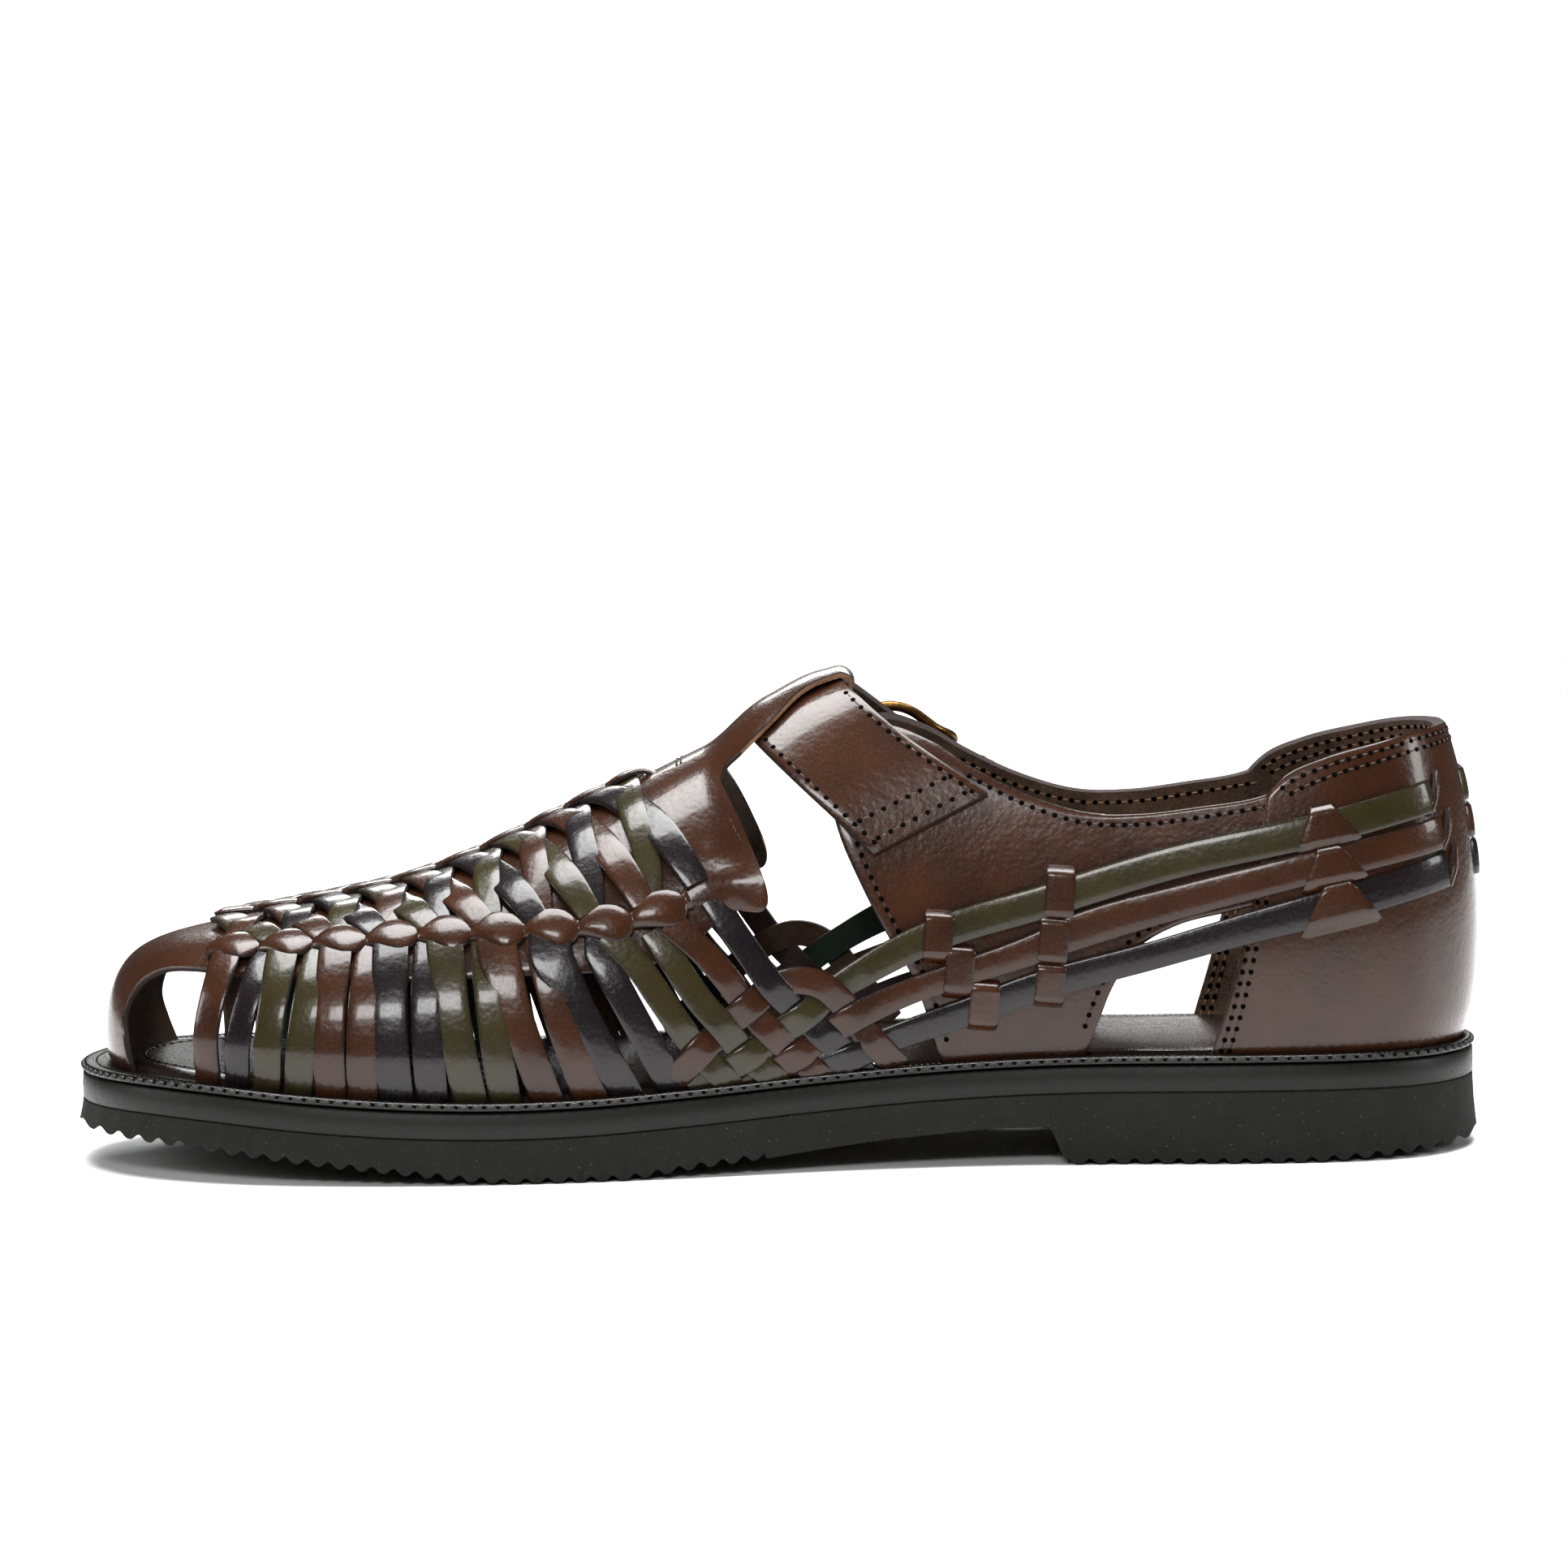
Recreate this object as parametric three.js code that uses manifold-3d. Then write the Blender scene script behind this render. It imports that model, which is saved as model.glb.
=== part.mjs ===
// Huarache sandal, right shoe: a woven leather upper with three back straps and a buckled
// ankle strap, on a welted foam-rubber sole with a ripple tread.
// Millimetres, +Z up. The toe points to -X and the inner (medial) side faces -Y.
// Shapes are drawn with x measured from the tip of the sole; the group is centred at the end.
import * as THREE from "three";
import { mergeVertices } from "three/addons/utils/BufferGeometryUtils.js";
import Module from "manifold-3d";

const wasm = await Module();
wasm.setup();

// Driving dimensions
const SOLE_LENGTH = 300;
const TOE_AT = 6.8; // front end of the feather line, where the upper meets the sole
const HEEL_AT = 296.3; // back end of the feather line
const TOE_LEAN = 23.2; // how far the crest starts behind the toe
const HEEL_LEAN = 25.3; // how far the crest ends before the heel
const WALL = 2.4; // the upper's wall: leather and lining, or two crossed straps
const GAP = 0.3; // clearance between pieces that touch
const COUNTER = 1.2; // leather of the heel counter
const HEEL_STRAP = 1.1; // leather of the back straps
const ANKLE_STRAP = 1.8; // two plies, stitched
const TAB = 1.5;
const LOOP = 1.6; // leather of the loop over the ankle strap
const BRASS = 1.8;
const PRONG = 1.2;
const KEEPER = 1.1; // leather of the keeper
const INSOLE = 2.6;
const MIDSOLE = 5.4;
const WELT = 1.7;
const LUG_PITCH = 5.2;
const LUG_DEPTH = 0.9;
const STATIONS = 34; // sections along the foot
const STEPS = 9; // facets on each side of a section
const REACH = 90; // half the width of a cutter that goes through everything

// A table with named columns, one row for each section.
function table(names, rows) {
  return Object.fromEntries(names.split(" ").map((name, k) => [name, rows.map((row) => row[k])]));
}

// Sections of the last along the feather line; square is the section's exponent.
const LAST = table("at inner outer square swell", [
  [TOE_AT, -5, -5, 4.5, 1.7],
  [9.5, -19, 8, 4.3, 1.7],
  [15, -28, 17.5, 4, 1.7],
  [25, -36.5, 27, 3.5, 1.7],
  [40, -43.5, 36.5, 3, 1.7],
  [60, -47.3, 43, 2.7, 1.6],
  [85, -48, 47.5, 2.45, 1.5],
  [105, -46.5, 49.5, 2.3, 1.5],
  [130, -42, 48.5, 2.2, 1.5],
  [160, -35, 43, 2.1, 1.5],
  [190, -30.8, 36.5, 2.1, 1.6],
  [220, -29.8, 32, 2.2, 1.8],
  [250, -31, 31.5, 2.4, 2.2],
  [270, -29.5, 30, 2.6, 3],
  [285, -23.5, 24, 2.85, 4],
  [292, -15.5, 16, 3, 4.6],
  [HEEL_AT, 0, 0, 3, 4.9],
]);

// The ridge of the last, from the toe over the instep to the top of the heel.
const CREST = table("at side height", [
  [30, -5, 50.3],
  [42, -6, 52.2],
  [56, -7, 54.8],
  [70, -7.5, 58],
  [85, -7.5, 63.3],
  [100, -7, 70.3],
  [115, -6.5, 77.6],
  [130, -6, 85],
  [145, -5, 91.7],
  [158, -4, 96.3],
  [166, -3.5, 98.4],
  [180, -3, 102.5],
  [200, -2, 107.5],
  [225, -1, 111.5],
  [250, 0, 113],
  [271, 0, 112],
]);

// Height of the feather line above the floor.
const FEATHER = table("at height", [
  [0, 19.5],
  [15, 19.6],
  [30, 18.9],
  [50, 17.2],
  [70, 15.9],
  [90, 15.3],
  [110, 15.6],
  [130, 16.7],
  [155, 18.4],
  [180, 20],
  [205, 21],
  [240, 21.3],
  [300, 21.2],
]);

// Width of the sole's ledge outside the feather line.
const LEDGE = table("at width", [
  [TOE_AT, 6.8],
  [40, 5.6],
  [90, 5],
  [150, 4],
  [210, 3.7],
  [HEEL_AT, 3.7],
]);

// Underside of the sole: toe spring, the ball's flat, the arch and the heel.
const UNDERSIDE = table("at height", [
  [0, 8.4],
  [10, 8],
  [26, 7.2],
  [52, 4.3],
  [70, 2.4],
  [87, 0.5],
  [95, 0],
  [118, 0],
  [133, 2],
  [146, 3.2],
  [157, 4.6],
  [172, 6.3],
  [194, 8],
  [206.6, 8.15],
]);
const BALL_FLAT = [92, 119];
const TREAD_END = 147;
const BREAST = 206.6;
const HEEL_FRONT = 211;
const HEEL_FLAT_END = 262;
const HEEL_RISE = 2;

const clamp = THREE.MathUtils.clamp;
const lerp = THREE.MathUtils.lerp;

// A smooth function through the points (xs, ys).
function smooth(xs, ys) {
  const last = xs.length - 1;
  const runs = xs.slice(1).map((x, i) => x - xs[i]);
  const rises = runs.map((run, i) => (ys[i + 1] - ys[i]) / run);
  const slopes = ys.map((_, i) =>
    i === 0 || i === last
      ? 0
      : (rises[i - 1] * runs[i] + rises[i] * runs[i - 1]) / (runs[i - 1] + runs[i]),
  );
  slopes[0] = 1.5 * rises[0] - 0.5 * slopes[1];
  slopes[last] = 1.5 * rises[last - 1] - 0.5 * slopes[last - 1];
  return (x) => {
    const next = xs.findIndex((known) => known > x);
    const i = next < 0 ? last - 1 : Math.max(next - 1, 0);
    const t = (x - xs[i]) / runs[i];
    const ease = t * t * (3 - 2 * t);
    const lead = t * (1 - t) * (1 - t);
    const trail = t * t * (t - 1);
    const bend = runs[i] * (slopes[i] * lead + slopes[i + 1] * trail);
    return lerp(ys[i], ys[i + 1], ease) + bend;
  };
}

// A straight-sided function through the points (xs, ys).
function straight(xs, ys) {
  return (x) => {
    const next = xs.findIndex((known) => known > x);
    const i = next < 0 ? xs.length - 2 : Math.max(next - 1, 0);
    return lerp(ys[i], ys[i + 1], (x - xs[i]) / (xs[i + 1] - xs[i]));
  };
}

// Stations run from 0 at the toe to 1 at the heel, and crowd together at both ends.
const atStation = (t) => TOE_AT + ((HEEL_AT - TOE_AT) * (1 - Math.cos(Math.PI * t))) / 2;
const stationAt = (at) =>
  Math.acos(clamp(1 - (2 * (at - TOE_AT)) / (HEEL_AT - TOE_AT), -1, 1)) / Math.PI;

const knots = LAST.at.map(stationAt);
const innerAt = smooth(knots, LAST.inner);
const outerAt = smooth(knots, LAST.outer);
const squareAt = smooth(knots, LAST.square);
const swellAt = smooth(knots, LAST.swell);
const crestSide = smooth(CREST.at, CREST.side);
const crestHeight = smooth(CREST.at, CREST.height);
const featherHeight = smooth(FEATHER.at, FEATHER.height);
const ledgeWidth = smooth(LEDGE.at, LEDGE.width);
const undersideHeight = straight(UNDERSIDE.at, UNDERSIDE.height);

const fade = (t, reach) => (t < reach ? (1 + Math.cos((Math.PI * t) / reach)) / 2 : 0);
const crestAt = (t) => atStation(t) + TOE_LEAN * fade(t, 0.33) - HEEL_LEAN * fade(1 - t, 0.33);

// A point on the feather line, moved outwards by offset; side is -1 inner or +1 outer.
function feather(t, side, offset) {
  const edge = side < 0 ? innerAt : outerAt;
  const x = atStation(t);
  const y = edge(t);
  if (t === 0) return [x - offset, y];
  if (t === 1) return [x + offset, y];
  const step = 1e-4;
  const before = clamp(t - step, 0, 1);
  const after = clamp(t + step, 0, 1);
  const along = atStation(after) - atStation(before);
  const across = edge(after) - edge(before);
  const length = Math.hypot(along, across);
  return [x - (side * across * offset) / length, y + (side * along * offset) / length];
}

// A point on the last's surface at station t; v runs from -1 (inner feather line) over 0
// (crest) to +1 (outer feather line). A positive offset lies outside the last.
function surface(t, v, offset) {
  const [fx, fy] = feather(t, v < 0 ? -1 : 1, offset);
  const cx = crestAt(t);
  const cy = crestSide(cx);
  const cz = crestHeight(cx) + offset;
  const fz = featherHeight(atStation(t));
  const power = 2 / squareAt(t);
  const turn = ((1 - Math.abs(v)) * Math.PI) / 2;
  const inwards = 1 - Math.max(Math.cos(turn), 0) ** power;
  const upwards = Math.sin(turn) ** power;
  const droop = t < 0.4 ? 0.2 * Math.max(cx - fx, 0) : 0;
  const swell = swellAt(t) * Math.sin(Math.PI * upwards ** 0.6);
  const reach = Math.hypot(fx - cx, fy - cy);
  return [
    fx + (cx - fx) * inwards + ((fx - cx) / reach) * swell,
    fy + (cy - fy) * inwards + ((fy - cy) / reach) * swell,
    fz + (cz - fz - droop) * upwards + droop * inwards,
  ];
}

// A closed mesh as a solid that can be cut and joined.
function solid(geometry) {
  const bare = new THREE.BufferGeometry();
  bare.setAttribute("position", geometry.getAttribute("position"));
  if (geometry.index) bare.setIndex(geometry.index);
  const merged = mergeVertices(bare, 1e-4);
  const corners = merged.index.array;
  const kept = [];
  for (let i = 0; i < corners.length; i += 3) {
    const [a, b, c] = [corners[i], corners[i + 1], corners[i + 2]];
    if (a !== b && b !== c && c !== a) kept.push(a, b, c);
  }
  return new wasm.Manifold(
    new wasm.Mesh({
      numProp: 3,
      vertProperties: merged.attributes.position.array,
      triVerts: new Uint32Array(kept),
    }),
  );
}

// The whole last as a closed solid, grown by offset and reaching depth below the feather line.
const forms = new Map();
function form(offset, depth = 0) {
  const key = offset + "/" + depth;
  if (forms.has(key)) return forms.get(key);
  const ring = 2 * STEPS + 3;
  const positions = [];
  for (let i = 0; i <= STATIONS; i++) {
    const t = i / STATIONS;
    for (let j = -STEPS - 1; j <= STEPS + 1; j++) {
      const below = Math.abs(j) > STEPS;
      const [x, y, z] = surface(t, clamp(j / STEPS, -1, 1), offset);
      positions.push(x, y, below ? z - depth : z);
    }
  }
  const faces = [];
  for (let i = 0; i < STATIONS; i++) {
    for (let j = 0; j < ring; j++) {
      const a = i * ring + j;
      const b = i * ring + ((j + 1) % ring);
      faces.push(a, a + ring, b, b, a + ring, b + ring);
    }
  }
  const geometry = new THREE.BufferGeometry();
  geometry.setAttribute("position", new THREE.Float32BufferAttribute(positions, 3));
  geometry.setIndex(faces);
  const made = solid(geometry);
  forms.set(key, made);
  return made;
}

// A skin that follows the last between two offsets.
const skin = (low, high) => form(high).subtract(form(low, 8));

const toVectors = (points) => points.map(([x, y]) => new THREE.Vector2(x, y));

// A smooth run of points through the given ones.
function curve(points) {
  const run = new THREE.SplineCurve(toVectors(points)).getPoints((points.length - 1) * 2);
  return run.map((p) => [p.x, p.y]);
}

// An outline of (x, z) points pushed through the shoe from side to side.
function sideways(points, from = -REACH, to = REACH) {
  const shape = new THREE.Shape(toVectors(points));
  const geometry = new THREE.ExtrudeGeometry(shape, { depth: to - from, bevelEnabled: false });
  geometry.rotateX(Math.PI / 2);
  geometry.translate(0, to, 0);
  return solid(geometry);
}

// An outline of (x, y) points pushed upwards.
function upwards(points, from = -20, to = 160) {
  const shape = new THREE.Shape(toVectors(points));
  const geometry = new THREE.ExtrudeGeometry(shape, { depth: to - from, bevelEnabled: false });
  geometry.translate(0, 0, from);
  return solid(geometry);
}

// The layer between two heights that are functions of x.
function layer(low, high) {
  const stops = Array.from({ length: 41 }, (_, i) => -10 + i * 8);
  const top = stops.map((x) => [x, high(clamp(x, 0, SOLE_LENGTH))]);
  const bottom = stops.map((x) => [x, low(clamp(x, 0, SOLE_LENGTH))]).reverse();
  return sideways([...bottom, ...top]);
}

// The sole's outline, a ledge outside the feather line.
function soleOutline() {
  const points = [];
  const count = STATIONS + 8;
  for (const side of [-1, 1]) {
    for (let i = 0; i < count; i++) {
      const t = side < 0 ? i / count : 1 - i / count;
      points.push(feather(t, side, ledgeWidth(atStation(t))));
    }
  }
  return points;
}

// Ripple lugs from one x to another: a groove, then a land that touches the underside line.
function lugs(from, to, height) {
  const count = Math.round((to - from) / LUG_PITCH);
  const pitch = (to - from) / count;
  const points = [];
  for (let i = 0; i < count; i++) {
    const groove = from + i * pitch;
    points.push([groove, height(groove) + LUG_DEPTH]);
    points.push([groove + pitch * 0.28, height(groove + pitch * 0.28)]);
    points.push([groove + pitch * 0.72, height(groove + pitch * 0.72)]);
  }
  return points;
}

const midsoleTop = (x) => featherHeight(x) - GAP;
const midsoleBottom = (x) => midsoleTop(x) - MIDSOLE;
const outsoleTop = (x) => midsoleBottom(x) - GAP;

function outsole(outline) {
  const heelHeight = (x) =>
    x < HEEL_FLAT_END ? 0 : (HEEL_RISE * (x - HEEL_FLAT_END)) / (SOLE_LENGTH - HEEL_FLAT_END);
  const flatBall = (x) => (x > BALL_FLAT[0] && x < BALL_FLAT[1] ? 0 : undersideHeight(x));
  const shank = UNDERSIDE.at
    .filter((x) => x > TREAD_END && x <= BREAST)
    .map((x) => [x, undersideHeight(x)]);
  const stops = Array.from({ length: 32 }, (_, i) => SOLE_LENGTH + 10 - i * 10.3);
  const profile = [
    [-10, undersideHeight(0)],
    ...lugs(1, TREAD_END, flatBall),
    ...shank,
    ...lugs(HEEL_FRONT, SOLE_LENGTH, heelHeight),
    [SOLE_LENGTH + 10, heelHeight(SOLE_LENGTH + 10)],
    ...stops.map((x) => [x, outsoleTop(clamp(x, 0, SOLE_LENGTH))]),
  ];
  return sideways(profile).intersect(outline);
}

const midsole = (outline) => layer(midsoleBottom, midsoleTop).intersect(outline);

function welt(outline) {
  const band = layer(featherHeight, (x) => featherHeight(x) + WELT);
  return band.intersect(outline).subtract(form(GAP, 8));
}

const insole = () =>
  layer(featherHeight, (x) => featherHeight(x) + INSOLE).intersect(form(-WALL - GAP, 8));

// The collar's edge, from the tongue's end along the quarter and up over the counter.
const COLLAR = [
  [166, 88],
  [172, 92.5],
  [182.5, 89.6],
  [191, 84.3],
  [203.5, 78],
  [216.6, 74.2],
  [227, 74],
  [240, 75.5],
  [253.5, 77.6],
];
const COUNTER_TOP = [
  [253.5, 77.6],
  [257.5, 81.5],
  [266, 85.2],
  [277, 88],
  [288, 90.3],
  [297, 91.2],
];
// The counter's front edge, from the collar down to the sole.
const COUNTER_FRONT = [
  [253.5, 77.6],
  [252.4, 70],
  [250.5, 58],
  [247.5, 44.5],
  [244.6, 32],
  [241.2, 15],
];

function collarOpening() {
  const edge = [...curve(COLLAR), ...curve(COUNTER_TOP).slice(1)];
  return sideways([[166, 140], ...edge, [330, 91.2], [330, 140]]);
}

// The open side between the wing, the waist's weave and the quarter's front edge.
function sideOpening() {
  const wing = curve([
    [139, 86],
    [138.2, 79],
    [140.6, 72],
    [144.5, 64.5],
    [147.4, 58],
    [145.4, 50.2],
  ]);
  const weave = curve([
    [147.6, 45.8],
    [151.5, 41.8],
    [161, 41],
    [168, 44.5],
    [173.6, 47.9],
  ]);
  const quarter = curve([
    [171.3, 54.4],
    [167.8, 61.3],
    [163.8, 69.5],
    [161.5, 79],
    [166, 88],
  ]);
  return sideways([...wing, ...weave, ...quarter, [172, 140], [139, 140]]);
}

// Everything beside the tongue, which narrows towards its end; inset trims it narrower.
const TONGUE = { front: 137, end: 167, frontHalf: 18.5, endHalf: 13.5, centre: -4.5 };
function besideTongue(inset = 0) {
  const cutter = (side) => {
    const near = (half) => TONGUE.centre + side * (half - inset);
    const points = [
      [TONGUE.front, near(TONGUE.frontHalf)],
      [TONGUE.end, near(TONGUE.endHalf)],
      [TONGUE.end + 10, near(TONGUE.endHalf)],
      [TONGUE.end + 10, side * REACH],
      [TONGUE.front, side * REACH],
    ];
    return upwards(side < 0 ? points.reverse() : points);
  };
  return cutter(-1).add(cutter(1));
}

// The open toe between the toe strip and the first side strap, as far as y runs.
function toeOpening(front, from, to) {
  const strip = curve([
    [front + 1.6, 10],
    [front + 0.7, 26],
    [front, 33],
    [front + 1.5, 38.6],
    [front + 4.8, 42],
    [front + 10, 43.7],
    [29.1, 43.7],
  ]);
  const strap = curve([
    [28, 36.7],
    [27.2, 26],
    [27.1, 10],
  ]);
  return sideways([...strip, ...strap], from, to);
}

// The narrow opening between the first two side straps.
const slitOpening = () =>
  sideways([
    [33.4, 22],
    [33, 33],
    [34.7, 42.3],
    [38.4, 42.6],
    [35.7, 33],
    [34.1, 22],
  ]);

// The opening between the quarter and the counter, crossed by the back straps.
function rearOpening() {
  const quarter = curve([
    [213.5, 10],
    [217, 28],
    [220.7, 37.2],
    [226, 45.5],
    [234.3, 50.4],
    [249.2, 54.3],
  ]);
  const counter = curve([
    [247.5, 44.5],
    [244.6, 32],
    [240, 10],
  ]);
  return sideways([...quarter, ...counter]);
}

// The region behind the counter's front edge; shift moves that edge backwards.
function counterRegion(shift) {
  const front = curve(COUNTER_FRONT).map(([x, z]) => [x + shift, z]);
  return sideways([...front, [330, 15], [330, 140], [253.5 + shift, 140]]);
}

// The heel counter lies in a recess, which leaves the lining as the wall behind it.
const counterRecess = () =>
  form(1, 4).subtract(form(-COUNTER - GAP, 8)).intersect(counterRegion(-GAP / 2));

function tongueLoop() {
  const reach = (from, to) =>
    sideways([
      [from, 60],
      [to, 60],
      [to, 140],
      [from, 140],
    ]);
  const low = GAP + ANKLE_STRAP + GAP;
  const high = low + LOOP;
  const arm = skin(low, high).intersect(reach(TONGUE.front, TONGUE.end));
  const front = skin(-1, high).intersect(reach(TONGUE.front, TONGUE.front + 4));
  const end = skin(-1, high).intersect(reach(TONGUE.end - 2, TONGUE.end));
  return arm.add(front).add(end).subtract(besideTongue(0.1));
}

function upper() {
  const openings = [
    collarOpening(),
    sideOpening().intersect(besideTongue()),
    toeOpening(10.5, -REACH, -8),
    toeOpening(15.5, -2, REACH),
    slitOpening(),
    rearOpening(),
    counterRecess(),
  ];
  const wall = form(0).subtract(form(-WALL, 8));
  return openings.reduce((body, cut) => body.subtract(cut), wall).add(tongueLoop());
}

const heelCounter = () =>
  skin(-COUNTER, 0).intersect(counterRegion(GAP / 2)).subtract(collarOpening());

// The three back straps: centre height at each x, and half of the strap's height there.
const HEEL_STRAPS = [
  {
    name: "heel_strap_olive",
    colour: 0x4a4526,
    path: table("at height half", [
      [163, 40.4, 2.6],
      [180, 46.6, 3.1],
      [205, 55.7, 3.3],
      [227, 62.5, 3.4],
      [252, 68.6, 3.3],
      [270, 72.3, 3.3],
      [291, 76.8, 3.4],
      [310, 77.2, 3.4],
    ]),
  },
  {
    name: "heel_strap_brown",
    colour: 0x5a2d1c,
    path: table("at height half", [
      [168, 29.4, 2.4],
      [186, 36.2, 2.5],
      [205, 44.8, 3],
      [227, 51.7, 3.4],
      [252, 59.4, 3.2],
      [270, 63.6, 3.2],
      [293, 69, 3.4],
      [310, 69.4, 3.4],
    ]),
  },
  {
    name: "heel_strap_black",
    colour: 0x2b2228,
    path: table("at height half", [
      [186, 30.2, 2.5],
      [205, 37.3, 3],
      [227, 43.7, 3],
      [252, 51, 3.2],
      [270, 55.4, 3.3],
      [294, 61.8, 3.4],
      [310, 62.2, 3.4],
    ]),
  },
];

function heelStrap(path) {
  const top = path.at.map((x, i) => [x, path.height[i] + path.half[i]]);
  const bottom = path.at.map((x, i) => [x, path.height[i] - path.half[i]]);
  const outline = [...curve(bottom), ...curve(top).reverse()];
  return skin(GAP, GAP + HEEL_STRAP).intersect(sideways(outline));
}

// The ankle strap's band as seen from the side: s runs from the crest (0) to the strap's
// inner end (1), w from the front edge (-1) to the rear edge (+1).
const BAND = { front: [142.8, 91.5], frontEnd: [170.4, 65.9], rear: [164.3, 98.8], rearEnd: [194.9, 78] };
function bandPoint(s, w) {
  const side = (w + 1) / 2;
  const mix = (k) =>
    lerp(lerp(BAND.front[k], BAND.frontEnd[k], s), lerp(BAND.rear[k], BAND.rearEnd[k], s), side);
  return [mix(0), mix(1)];
}
const bandPatch = (s0, s1, w0, w1, from = 0, to = REACH) =>
  sideways([bandPoint(s0, w0), bandPoint(s1, w0), bandPoint(s1, w1), bandPoint(s0, w1)], from, to);

// Places along the outer side's band, in the same units as s.
const BUCKLE = { front: 0.35, climb: 0.5, bar: 0.57, tab: 0.635, rear: 0.86, bend: 0.055 };
const TIP_END = 1.22;
const KEEPER_AT = [0.95, 1.07];
const UNDER = [GAP, GAP + ANKLE_STRAP];
const OVER = [2 * GAP + TAB, 2 * GAP + TAB + ANKLE_STRAP];

function ankleStrap() {
  const crown = [
    bandPoint(0, -1),
    bandPoint(0.02, -1),
    bandPoint(0.02, 1),
    [BAND.rear[0], 130],
    [BAND.front[0], 130],
  ];
  const low = skin(...UNDER);
  const inner = low.intersect(bandPatch(0, 1, -1, 1, -REACH, 0).add(sideways(crown)));
  const outer = low.intersect(bandPatch(0, BUCKLE.climb - 0.01, -1, 1));
  const climb = skin(UNDER[0], OVER[1]).intersect(
    bandPatch(BUCKLE.climb - BUCKLE.bend, BUCKLE.climb, -1, 1),
  );
  const tip = skin(...OVER).intersect(bandPatch(BUCKLE.climb - BUCKLE.bend + 0.01, TIP_END, -1, 1));
  const half = TONGUE.endHalf + 1;
  const loopEnd = upwards([
    [TONGUE.end - 2 - GAP, TONGUE.centre - half],
    [TONGUE.end + 6, TONGUE.centre - half],
    [TONGUE.end + 6, TONGUE.centre + half],
    [TONGUE.end - 2 - GAP, TONGUE.centre + half],
  ]);
  return inner.add(outer).add(climb).add(tip).subtract(loopEnd);
}

const buckleTab = () =>
  skin(GAP, GAP + TAB).intersect(bandPatch(BUCKLE.tab, TIP_END + 0.06, -0.92, 0.92));

// Inner and outer half widths of the buckle frame and the keeper, as shares of the band's.
const FRAME_WIDE = [1.04, 1.24];
const KEEPER_WIDE = [1.04, 1.16];
const PRONG_WIDE = 0.09;
const FRAME_LOW = OVER[1] + GAP;
const FRAME_HIGH = FRAME_LOW + BRASS;

function buckleFrame() {
  const rails = skin(GAP + 0.2, FRAME_HIGH);
  const bars = skin(FRAME_LOW, FRAME_HIGH);
  const [inside, width] = FRAME_WIDE;
  const pieces = [
    rails.intersect(bandPatch(BUCKLE.front, BUCKLE.rear, -width, -inside)),
    rails.intersect(bandPatch(BUCKLE.front, BUCKLE.rear, inside, width)),
    bars.intersect(bandPatch(BUCKLE.front, BUCKLE.front + BUCKLE.bend, -width, width)),
    bars.intersect(bandPatch(BUCKLE.rear - BUCKLE.bend, BUCKLE.rear, -width, width)),
    skin(GAP + 0.2, GAP + TAB).intersect(
      bandPatch(BUCKLE.bar - BUCKLE.bend / 2, BUCKLE.bar + BUCKLE.bend / 2, -width, width),
    ),
  ];
  return pieces.reduce((body, piece) => body.add(piece));
}

const buckleProng = () =>
  skin(FRAME_HIGH + GAP, FRAME_HIGH + GAP + PRONG).intersect(
    bandPatch(BUCKLE.front - 0.03, BUCKLE.bar + 0.03, -PRONG_WIDE, PRONG_WIDE),
  );

function strapKeeper() {
  const [inside, width] = KEEPER_WIDE;
  const hoop = skin(GAP, OVER[1] + GAP + KEEPER).intersect(bandPatch(...KEEPER_AT, -width, width));
  return hoop.subtract(form(OVER[1] + GAP).intersect(bandPatch(0.5, 1.5, -inside, inside)));
}

// A named mesh with its own material.
function mesh(name, body, colour, roughness, metalness = 0) {
  const data = body.getMesh();
  const geometry = new THREE.BufferGeometry();
  geometry.setAttribute("position", new THREE.BufferAttribute(data.vertProperties, 3));
  geometry.setIndex(new THREE.BufferAttribute(data.triVerts, 1));
  geometry.computeVertexNormals();
  const material = new THREE.MeshStandardMaterial({ color: colour, roughness, metalness });
  const made = new THREE.Mesh(geometry, material);
  made.name = name;
  return made;
}

const BROWN = 0x5a2d1c;
const BLACK_RUBBER = 0x3e3c3a;
const OLD_BRASS = 0x8a6a35;
const outline = upwards(soleOutline(), -10, 60);

const shoe = new THREE.Group();
shoe.name = "huarache_sandal";
shoe.add(
  mesh("outsole", outsole(outline), BLACK_RUBBER, 0.85),
  mesh("midsole", midsole(outline), 0x2d2a26, 0.4),
  mesh("welt", welt(outline), 0x151312, 0.3),
  mesh("insole", insole(), 0x241a15, 0.25),
  mesh("upper", upper(), BROWN, 0.25),
  mesh("heel_counter", heelCounter(), BROWN, 0.25),
  mesh("ankle_strap", ankleStrap(), BROWN, 0.25),
  mesh("buckle_tab", buckleTab(), BROWN, 0.3),
  mesh("buckle_frame", buckleFrame(), OLD_BRASS, 0.35, 1),
  mesh("buckle_prong", buckleProng(), OLD_BRASS, 0.35, 1),
  mesh("strap_keeper", strapKeeper(), BROWN, 0.3),
  ...HEEL_STRAPS.map(({ name, colour, path }) => mesh(name, heelStrap(path), colour, 0.25)),
);

// The frame's origin is the middle of the whole shoe's box, on the floor.
const box = new THREE.Box3().setFromObject(shoe);
const middle = box.getCenter(new THREE.Vector3());
const frame = new THREE.Group();
shoe.position.set(-middle.x, -middle.y, -box.min.z);
frame.add(shoe);

export default frame;
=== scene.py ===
"""Huarache sandal, right shoe: woven leather upper, buckled ankle strap and ripple sole."""
import logging
import math
from dataclasses import Field, dataclass, field
from enum import Enum
from typing import Callable, Sequence

import bmesh
import bpy
import numpy as np
from bpy.types import Material, Mesh, Node, NodeSocket, NodeTree, Object
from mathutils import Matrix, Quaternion, Vector


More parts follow.
